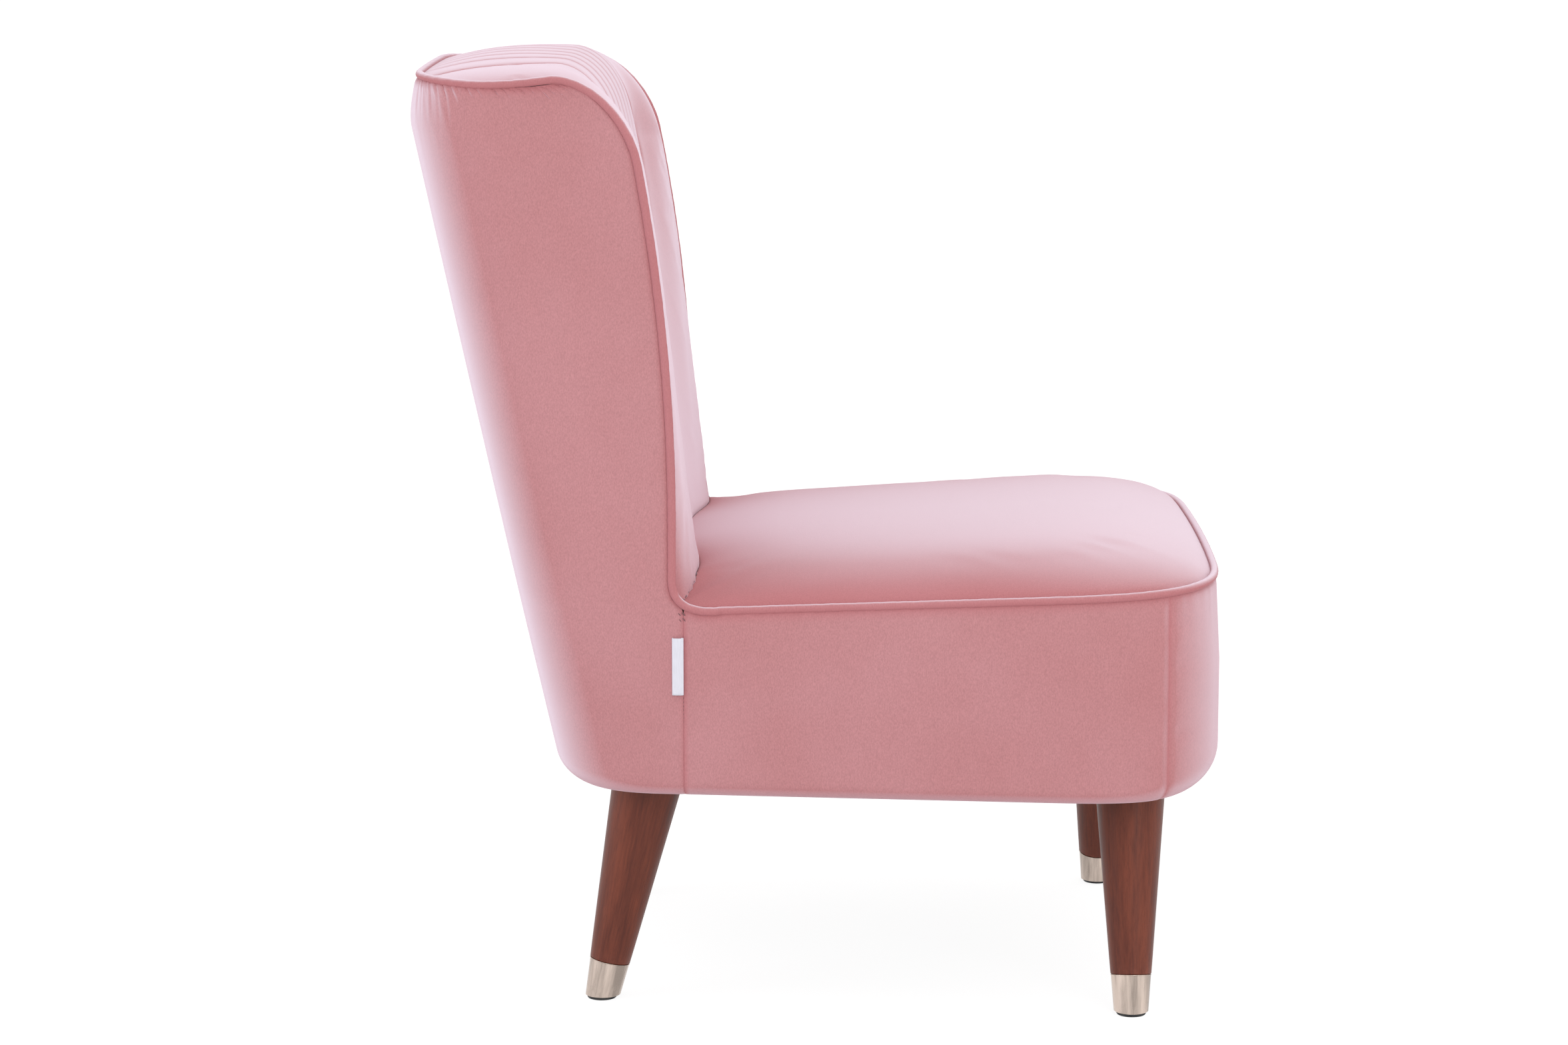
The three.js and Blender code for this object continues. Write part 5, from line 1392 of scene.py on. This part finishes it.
class CHAIR_OT_stitching(bpy.types.Operator):
    """Makes the stitches of the upright seams and of the crevice, and tacks at the welt's turns"""

    bl_idname = "chair.stitching"
    bl_label = "Stitching"

    above_crevice = (0, 0.0008, 0.0012)  # across, forward and up from the crevice's line
    crevice_out = (0.25, -0.75, 0.62)
    tack_places = (-0.004, 0.0, 0.004)
    upright_stitch = (0.0026, 0.0008)  # length and gap
    steps = 60

    def front_seam(self, side):
        """The upright seam that bounds the front border, and the way out of the cloth there."""
        line = []
        outs = []
        top = welt_height(FRONT_SEAM) - 0.006
        for up in np.linspace(top, UNDERSIDE + SIDE_ROLL, self.steps):
            path = front_path(up)
            end, following = (path[-1], path[-2]) if side > 0 else (path[0], path[1])
            ahead = unit(following - end)
            out = np.array([ahead[1], -ahead[0]]) * math.copysign(1, ahead[1] * side)
            line.append([*(end - out * SEAM_SINK), up])
            outs.append([*out, 0])
        return placed(line), placed(outs)

    def execute(self, context):
        sizes = context.scene.chair_sizes
        lines = []
        vertical = []
        for side in (1, -1):
            share = np.linspace(CREVICE_END + 0.01, 0.995, 24) * side
            line = np.stack(crevice(share, BEHIND_WELT, sizes.margin_fullness), axis=1)
            outs = np.multiply(self.crevice_out, (side, 1, 1))
            lines.append((placed(line + self.above_crevice), np.tile(outs, (len(line), 1))))
            for place in self.tack_places:
                forward = REAR_SEAM - 0.002 + np.linspace(-0.0045, 0.0045, 4) + place
                low = TURN_BOTTOM - 0.001 + np.linspace(0.004, -0.006, 4)
                tack = np.stack([side * (half_width(forward, low) + 0.0005), forward, low], axis=1)
                lines.append((placed(tack), np.tile((side, 0, 0), (4, 1))))
            vertical.append(self.front_seam(side))
            up = np.linspace(TURN_BOTTOM - 0.010, UNDERSIDE + SIDE_ROLL, self.steps)
            forward = REAR_SEAM + 0.0005 * np.sin(up * 60)
            line = np.stack([side * (half_width(forward, up) - SEAM_SINK), forward, up], axis=1)
            vertical.append((placed(line), np.tile((side, 0, 0), (len(up), 1))))
        radius = sizes.thread_radius
        for name, seams, *stitch in (
            ("corner_seam_stitches", lines, radius, sizes.stitch_length, sizes.stitch_gap),
            ("upright_seam_stitches", vertical, radius * 0.9, *self.upright_stitch),
        ):
            dress(stitch_mesh(name, seams, *stitch), thread(), "velvet")
        return {"FINISHED"}


# Legs


def leg_frame(foot, side):
    """Turns a piece that stands on its own origin into a leg of the chair."""
    across, forward, splay, rake = foot
    inwards, ahead = math.tan(math.radians(splay)), math.tan(math.radians(rake))
    axis = Vector((-side * inwards, -ahead, 1)).normalized()
    tilt = Vector((0, 0, 1)).rotation_difference(axis)
    return Matrix.Translation((side * across, -forward, 0)) @ tilt.to_matrix().to_4x4(), axis


def cut_level(piece, low, high):
    """Cuts a tilted turned piece level at two heights, and closes the cuts."""
    made = bmesh.new()
    made.from_mesh(piece.data)
    made.transform(piece.matrix_world)
    for height, up in ((low, -1), (high, 1)):
        parts = made.verts[:] + made.edges[:] + made.faces[:]
        plane = {"plane_co": (0, 0, height), "plane_no": (0, 0, up)}
        cut = bmesh.ops.bisect_plane(made, geom=parts, clear_outer=True, **plane)
        edges = [part for part in cut["geom_cut"] if isinstance(part, bmesh.types.BMEdge)]
        if edges:
            bmesh.ops.contextual_create(made, geom=edges)
    made.transform(piece.matrix_world.inverted())
    made.to_mesh(piece.data)
    made.free()
    piece.data.set_sharp_from_angle(angle=math.radians(35))


class CHAIR_OT_legs(bpy.types.Operator):
    """Makes the four turned legs with their ferrules and glides"""

    bl_idname = "chair.legs"
    bl_label = "Legs"

    spare_foot = 0.012  # turned below the floor and then cut off level
    spare_top = 0.05  # turned above the leg's top and then cut off level
    ferrule_top = GLIDE_HEIGHT + FERRULE_HEIGHT
    ferrule_ceiling = 0.05  # a level above the ferrule, where nothing of it is cut
    cut_above_glide = 0.0003
    feet = {
        "front_left": (FRONT_FOOT, 1),
        "front_right": (FRONT_FOOT, -1),
        "rear_left": (REAR_FOOT, 1),
        "rear_right": (REAR_FOOT, -1),
    }

    def leg_profile(self, top):
        """The tapered leg, with a small step down to the stem inside its ferrule."""
        radius, start = FERRULE_TOP_RADIUS, self.ferrule_top
        stem = radius - 0.0013
        taper = (LEG_TOP_RADIUS - radius) / (top - start)
        profile = [(0.0105, -self.spare_foot), (stem, start - 0.0003)]
        profile += [(stem + 0.0001, start + 0.0002), (radius - 0.0006, start + 0.0003)]
        profile.append((radius, start + 0.0010))
        for share in np.linspace(0, 1, 13)[1:]:
            profile.append((lerp(radius, LEG_TOP_RADIUS, share), lerp(start, top, share)))
        return [*profile, (LEG_TOP_RADIUS + taper * self.spare_top, top + self.spare_top)]

    def ferrule_profile(self):
        """The tapered ferrule with its rounded lip."""
        radius, end = FERRULE_TOP_RADIUS, self.ferrule_top
        taper = (radius - FOOT_RADIUS) / FERRULE_HEIGHT
        profile = [(FOOT_RADIUS - taper * self.spare_foot, -self.spare_foot), (FOOT_RADIUS, 0.0)]
        profile += [(radius - 0.0004, end - 0.0008), (radius, end - 0.0005), (radius, end - 0.0001)]
        return [*profile, (radius - 0.0004, end + 0.0001), (radius - 0.0010, end)]

    def glide_profile(self):
        radius = GLIDE_RADIUS
        round_edge = [(radius - 0.0014, 0.0), (radius - 0.0005, 0.0003), (radius, 0.0010)]
        return [*round_edge, (radius, GLIDE_HEIGHT)]

    def execute(self, context):
        colours = context.scene.chair_colours
        grain = {"coat": 0.12, "sheen": (0.38, 0.55)}
        wood = finish_of("leg wood", wood_finish, colours.leg_light, colours.leg_dark, **grain)
        metal = finish_of("ferrule metal", metal_finish, colours.ferrule, 0.24, 0.36)
        plastic = finish_of("glide plastic", plastic_finish, colours.glide)
        for name, (foot, side) in self.feet.items():
            place, axis = leg_frame(foot, side)
            leg = lathe("leg_turned_" + name, self.leg_profile(LEG_TOP / axis.z))
            ferrule = lathe("ferrule_brushed_" + name, self.ferrule_profile(), 96)
            for piece, ceiling in ((leg, LEG_TOP), (ferrule, self.ferrule_ceiling)):
                piece.matrix_world = place
                cut_level(piece, GLIDE_HEIGHT + self.cut_above_glide, ceiling)
            glide = lathe("glide_" + name + "_disc", self.glide_profile(), 48)
            glide.matrix_world = Matrix.Translation((side * foot[0], -foot[1], 0))
            dress(leg, wood, "leg_wood", "leg_" + name)
            dress(ferrule, metal, "ferrule", "ferrule_" + name)
            dress(glide, plastic, "glide", "glide_" + name)
        return {"FINISHED"}


class CHAIR_OT_label(bpy.types.Operator):
    """Makes the blank satin label, a loop sewn into the rear seam of the right side"""

    bl_idname = "chair.label"
    bl_label = "Label"

    sides = 40
    rows = 24
    thickness = 0.00035

    def execute(self, context):
        low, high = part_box("label")
        width, depth = high.y - low.y, high.x - low.x
        middle_x, middle_y = (low.x + high.x) / 2, (low.y + high.y) / 2
        angle = angles_round(self.sides)
        rounded = np.copysign(np.abs(np.sin(angle)) ** 0.6, np.sin(angle))
        outline = np.stack([0.5 * depth * rounded, 0.5 * width * np.cos(angle)], axis=1)
        points = []
        for inset in (0.0, self.thickness):
            slimmer = 1 - 2 * inset / depth
            for row in range(self.rows + 1):
                up = lerp(low.z, high.z, row / self.rows)
                flare = 0.9 * (1 + 0.10 * abs(2 * row / self.rows - 1) ** 3)
                wave = 0.0003 * math.sin(row * 0.9) * slimmer
                for x, y in outline * (slimmer, 1 - 2 * inset / width):
                    points.append((middle_x + x * flare + wave * (y / width), middle_y + y, up))
        layer = (self.rows + 1) * self.sides
        faces = ring_faces(self.rows + 1, self.sides)
        faces += ring_faces(self.rows + 1, self.sides, first=layer, flip=True)
        for first in (0, self.rows * self.sides):
            for k in range(self.sides):
                a, b = first + k, first + (k + 1) % self.sides
                face = (a, layer + a, layer + b, b)
                faces.append(face[::-1] if first else face)
        piece = new_object("blank_label", points, faces)
        satin = finish_of("label satin", satin_finish, context.scene.chair_colours.label)
        dress(piece, satin, "satin", "label")
        return {"FINISHED"}


class CHAIR_OT_underside(bpy.types.Operator):
    """Makes the dust cover under the seat and the staples round its edge"""

    bl_idname = "chair.underside"
    bl_label = "Dust cover"

    sides = 280
    rings = 16
    centre = np.array([0.0, 0.05])  # the rings of the cloth close in on it
    innermost = 0.02  # size of the last ring
    hem_inside = 0.004  # from the rolled edge of the covers to the hem
    sag = 0.003
    crease = 0.0004
    tuck = 0.0006
    staples_inside = 0.009  # from the rolled edge of the covers to the staples
    staple_length = 0.010

    def execute(self, context):
        sizes = context.scene.chair_sizes
        colours = context.scene.chair_colours
        low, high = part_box("dust_cover")
        half_round = self.sides // 2
        front = resampled(end_path(FRONT_END, UNDERSIDE, 0.0), half_round)
        rear = resampled(end_path(REAR_END, UNDERSIDE, 0.0), half_round)
        outline = np.vstack([front[:-1], rear[:-1]])
        ahead = ring_ahead(outline)
        normal = np.stack([-ahead[:, 1], ahead[:, 0]], axis=1)
        roll = roll_at(normal)[:, None]
        hem = outline - normal * (roll + self.hem_inside)
        points = []
        for level in (low.z, high.z):
            for ring in range(self.rings + 1):
                size = 1 - ring / self.rings * (1 - self.innermost)
                sag = self.sag * (1 - size**2) - self.crease * (ring % 3 == 1)
                for k, (x, y) in enumerate(self.centre + (hem - self.centre) * size):
                    tuck = self.tuck * math.sin(k * 0.7) * size**6
                    points.append((x, y, level - (sag + tuck if ring else 0)))
        layer = (self.rings + 1) * self.sides
        faces = ring_faces(self.rings + 1, self.sides, flip=True)
        faces += ring_faces(self.rings + 1, self.sides, first=layer)
        last = self.rings * self.sides
        faces.append(tuple(range(last, last + self.sides)))
        faces.append(tuple(range(layer + last, layer + last + self.sides))[::-1])
        for k in range(self.sides):
            following = (k + 1) % self.sides
            faces.append((k, following, layer + following, layer + k))
        piece = new_object("dust_cover_cloth", placed(points), faces)
        gap = [c * 0.4 for c in colours.lining]
        lining = finish_of("lining", woven_finish, colours.lining, gap, 2600.0)
        dress(piece, lining, "lining", "dust_cover")

        inner = outline - normal * (roll + self.staples_inside)
        ring = np.vstack([inner, inner[:1]])
        even = resampled(ring, int(reach_along(ring)[-1] / sizes.staple_spacing))[:-1]
        half = ring_ahead(even) * self.staple_length / 2
        lines = []
        for ends in zip(even - half, even + half):
            line = placed([(x, y, low.z - 0.0003) for x, y in ends])
            lines.append((line, np.tile((0, 0, -1), (2, 1))))
        staples = stitch_mesh("dust_cover_staples", lines, 0.0005, self.staple_length, 0.0)
        dress(staples, steel(), "steel")
        return {"FINISHED"}


def softened_copy(name, node, finish, slot, cuts, rough):
    """A copy of a hidden soft solid with finer faces, a little uneven as cut foam or felt is."""
    piece = linked(name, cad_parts[node].data.copy())
    made = bmesh.new()
    made.from_mesh(piece.data)
    bmesh.ops.remove_doubles(made, verts=made.verts, dist=1e-5)
    bmesh.ops.subdivide_edges(made, edges=made.edges, cuts=cuts, use_grid_fill=True)
    made.normal_update()
    for vertex in made.verts:
        x, y, z = vertex.co
        uneven = math.sin(61 * x + 3) * math.sin(53 * y + 1) * math.sin(47 * z + 2)
        vertex.co -= vertex.normal * rough * (0.5 + 0.5 * uneven)
    made.to_mesh(piece.data)
    made.free()
    return dress(piece, finish, slot, node)


class CHAIR_OT_filling(bpy.types.Operator):
    """Makes the foam, the padding, the felt and the webs under the covers"""

    bl_idname = "chair.filling"
    bl_label = "Filling"

    fills = {
        "back_foam": 1.0,
        "seat_foam": 1.0,
        "seat_wrap_padding": 0.8,
        "outside_back_padding": 0.8,
    }

    def execute(self, context):
        colours = context.scene.chair_colours
        lining = colours.lining
        gap = [c * 0.7 for c in colours.felt]
        foam = finish_of("foam", foam_finish, colours.foam)
        felt = finish_of("felt", woven_finish, colours.felt, gap, 500.0, depth=0.001)
        webbing = finish_of("webbing", woven_finish, [c * 2 for c in lining], lining, 900.0)
        for node, fill in self.fills.items():
            piece = softened_copy(node + "_filling", node, foam, "foam", 1, 0.0006)
        softened_copy("deck_felt", "deck_pad", felt, "felt", 1, 0.0004)
        for number in (1, 2, 3):
            web = f"back_web_{number}"
            softened_copy(f"web_{number}_woven", web, webbing, "lining", 6, 0.0002)
        return {"FINISHED"}


class CHAIR_OT_frame(bpy.types.Operator):
    """Gives the wooden frame, the springs and the fixings their finishes"""

    bl_idname = "chair.frame"
    bl_label = "Frame and springs"

    ways = {
        "upright": (0, 0, 0),
        "across": (0, math.pi / 2, 0),
        "along": (math.pi / 2, 0, 0),
    }
    kinds = {
        "seat_spring": "steel",
        "spring_strip": "steel",
        "hanger_bolt": "steel",
        "tee_nut": "steel",
        "back_post": "upright",
        "back_upright": "upright",
        "corner_block": "upright",
        "seat_side_rail": "along",
        "back_stretcher": "along",
        "seat_front_rail": "across",
        "seat_rear_rail": "across",
        "back_top_rail": "across",
        "back_low_rail": "across",
    }

    def execute(self, context):
        colours = context.scene.chair_colours
        grain = {"scale": 0.5, "sheen": (0.6, 0.8), "wear": 0.1}
        values = (wood_finish, colours.frame_light, colours.frame_dark)
        finishes = {"steel": steel()}
        for way, turn in self.ways.items():
            finishes[way] = finish_of("frame wood " + way, *values, turn=turn, **grain)
        for name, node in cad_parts.items():
            if node.hide_render:
                continue
            found = [way for start, way in self.kinds.items() if name.startswith(start)]
            if not found:
                raise RuntimeError(name + " has no finish")
            node.data.materials.clear()
            node.data.materials.append(finishes[found[0]])
        return {"FINISHED"}


# Stage


class CHAIR_OT_stage(bpy.types.Operator):
    """Sets up the camera, the pale floor and the soft lamps"""

    bl_idname = "chair.stage"
    bl_label = "Stage"

    floor_half = 40
    floor_glow = 1.22  # brightness of the floor where the camera sees it
    floor_share = 0.72  # share of that brightness, and the rest is lit by the lamps
    cool = (0.90, 0.90, 1.0)

    def join_seen(self, tree, kind, share, unseen, seen):
        """Joins two shaders: one for light that bounces, and one mixed in where it is seen."""
        path = new_node(tree, "LightPath", {}).outputs
        direct = maths(tree, "MAXIMUM", path["Is Camera Ray"], path["Is Glossy Ray"])
        direct = maths(tree, "MAXIMUM", direct, path["Is Transmission Ray"])
        inputs = {0: times(tree, direct, share), 1: unseen.outputs[0], 2: seen.outputs[0]}
        both = new_node(tree, "MixShader", inputs)
        new_node(tree, kind, {"Surface": both.outputs[0]})

    def floor_finish(self):
        material = bpy.data.materials.new("stage floor")
        material.use_nodes = True
        tree = material.node_tree
        tree.nodes.clear()
        diffuse = new_node(tree, "BsdfDiffuse", {"Color": (0.88, 0.88, 0.88, 1)})
        glow = new_node(tree, "Emission", {"Color": (1, 1, 1, 1), "Strength": self.floor_glow})
        self.join_seen(tree, "OutputMaterial", self.floor_share, diffuse, glow)
        return material

    def light_room(self, strength):
        world = bpy.data.worlds.new("studio")
        bpy.context.scene.world = world
        world.use_nodes = True
        tree = world.node_tree
        tree.nodes.clear()
        room = new_node(tree, "Background", {"Color": (1.0, 0.985, 0.98, 1), "Strength": strength})
        white = new_node(tree, "Background", {"Color": (1, 1, 1, 1), "Strength": 1.0})
        self.join_seen(tree, "OutputWorld", 1.0, room, white)

    def add_lamp(self, name, place, target, size, power, tint=(1, 1, 1)):
        light = bpy.data.lights.new(name, "AREA")
        light.color = tint
        light.shape = "DISK"
        light.size = size
        light.energy = power
        lamp = linked(name, light)
        lamp.location = place
        lamp.rotation_euler = (Vector(target) - Vector(place)).to_track_quat("-Z", "Y").to_euler()

    def execute(self, context):
        scene = context.scene
        stage = scene.chair_stage
        scene.view_settings.view_transform = "Standard"
        view = bpy.data.cameras.new("camera")
        view.lens = stage.lens
        view.clip_end = 200
        camera = linked("camera", view)
        camera.location = stage.camera_place
        turn, tilt = stage.camera_turn, stage.camera_tilt
        level = math.cos(tilt)
        ahead = Vector((math.cos(turn) * level, math.sin(turn) * level, -math.sin(tilt)))
        camera.rotation_euler = ahead.to_track_quat("-Z", "Y").to_euler()
        scene.camera = camera
        size = self.floor_half
        corners = [(-size, -size, 0), (size, -size, 0), (size, size, 0), (-size, size, 0)]
        floor = new_object("floor", corners, [(0, 1, 2, 3)], False)
        floor.data.materials.append(self.floor_finish())
        self.light_room(stage.surround)
        chair, back = (0, 0, 0.4), (0, 0, 0.5)
        self.add_lamp("overhead lamp", (-0.5, -0.7, 2.6), chair, 2.2, stage.overhead_power)
        self.add_lamp("side lamp", (-2.6, -1.2, 1.3), chair, 1.8, stage.side_power)
        self.add_lamp("rear lamp", (-0.9, 2.6, 1.1), back, 1.6, stage.rear_power, self.cool)
        return {"FINISHED"}


class CHAIR_PT_panel(bpy.types.Panel):
    """Lists the pieces of the chair and the sizes and colours that they take"""

    bl_idname = "CHAIR_PT_panel"
    bl_label = "Slipper chair"
    bl_space_type = "VIEW_3D"
    bl_region_type = "UI"
    bl_category = "Chair"

    def draw(self, context):
        for operator in PIECES:
            self.layout.operator(operator.bl_idname)
        for group in SETTINGS:
            settings = getattr(context.scene, group)
            box = self.layout.box()
            for name in settings.__annotations__:
                box.prop(settings, name)


PIECES = (
    CHAIR_OT_stage,
    CHAIR_OT_borders,
    CHAIR_OT_outside_back,
    CHAIR_OT_seat,
    CHAIR_OT_inside_back,
    CHAIR_OT_piping,
    CHAIR_OT_stitching,
    CHAIR_OT_legs,
    CHAIR_OT_label,
    CHAIR_OT_underside,
    CHAIR_OT_filling,
    CHAIR_OT_frame,
)
SETTINGS = {
    "chair_sizes": CHAIR_PG_sizes,
    "chair_colours": CHAIR_PG_colours,
    "chair_stage": CHAIR_PG_stage,
}


def register():
    for group in SETTINGS.values():
        bpy.utils.register_class(group)
    for name, group in SETTINGS.items():
        setattr(bpy.types.Scene, name, bpy.props.PointerProperty(type=group))
    for operator in PIECES:
        bpy.utils.register_class(operator)
    bpy.utils.register_class(CHAIR_PT_panel)


def unregister():
    bpy.utils.unregister_class(CHAIR_PT_panel)
    for operator in reversed(PIECES):
        bpy.utils.unregister_class(operator)
    for name, group in SETTINGS.items():
        delattr(bpy.types.Scene, name)
        bpy.utils.unregister_class(group)


def main():
    register()
    bpy.ops.chair.stage()
    bpy.ops.chair.borders()
    bpy.ops.chair.outside_back()
    bpy.ops.chair.seat()
    bpy.ops.chair.inside_back()
    bpy.ops.chair.piping()
    bpy.ops.chair.stitching()
    bpy.ops.chair.legs()
    bpy.ops.chair.label()
    bpy.ops.chair.underside()
    bpy.ops.chair.filling()
    bpy.ops.chair.frame()


if __name__ == "__main__":
    main()
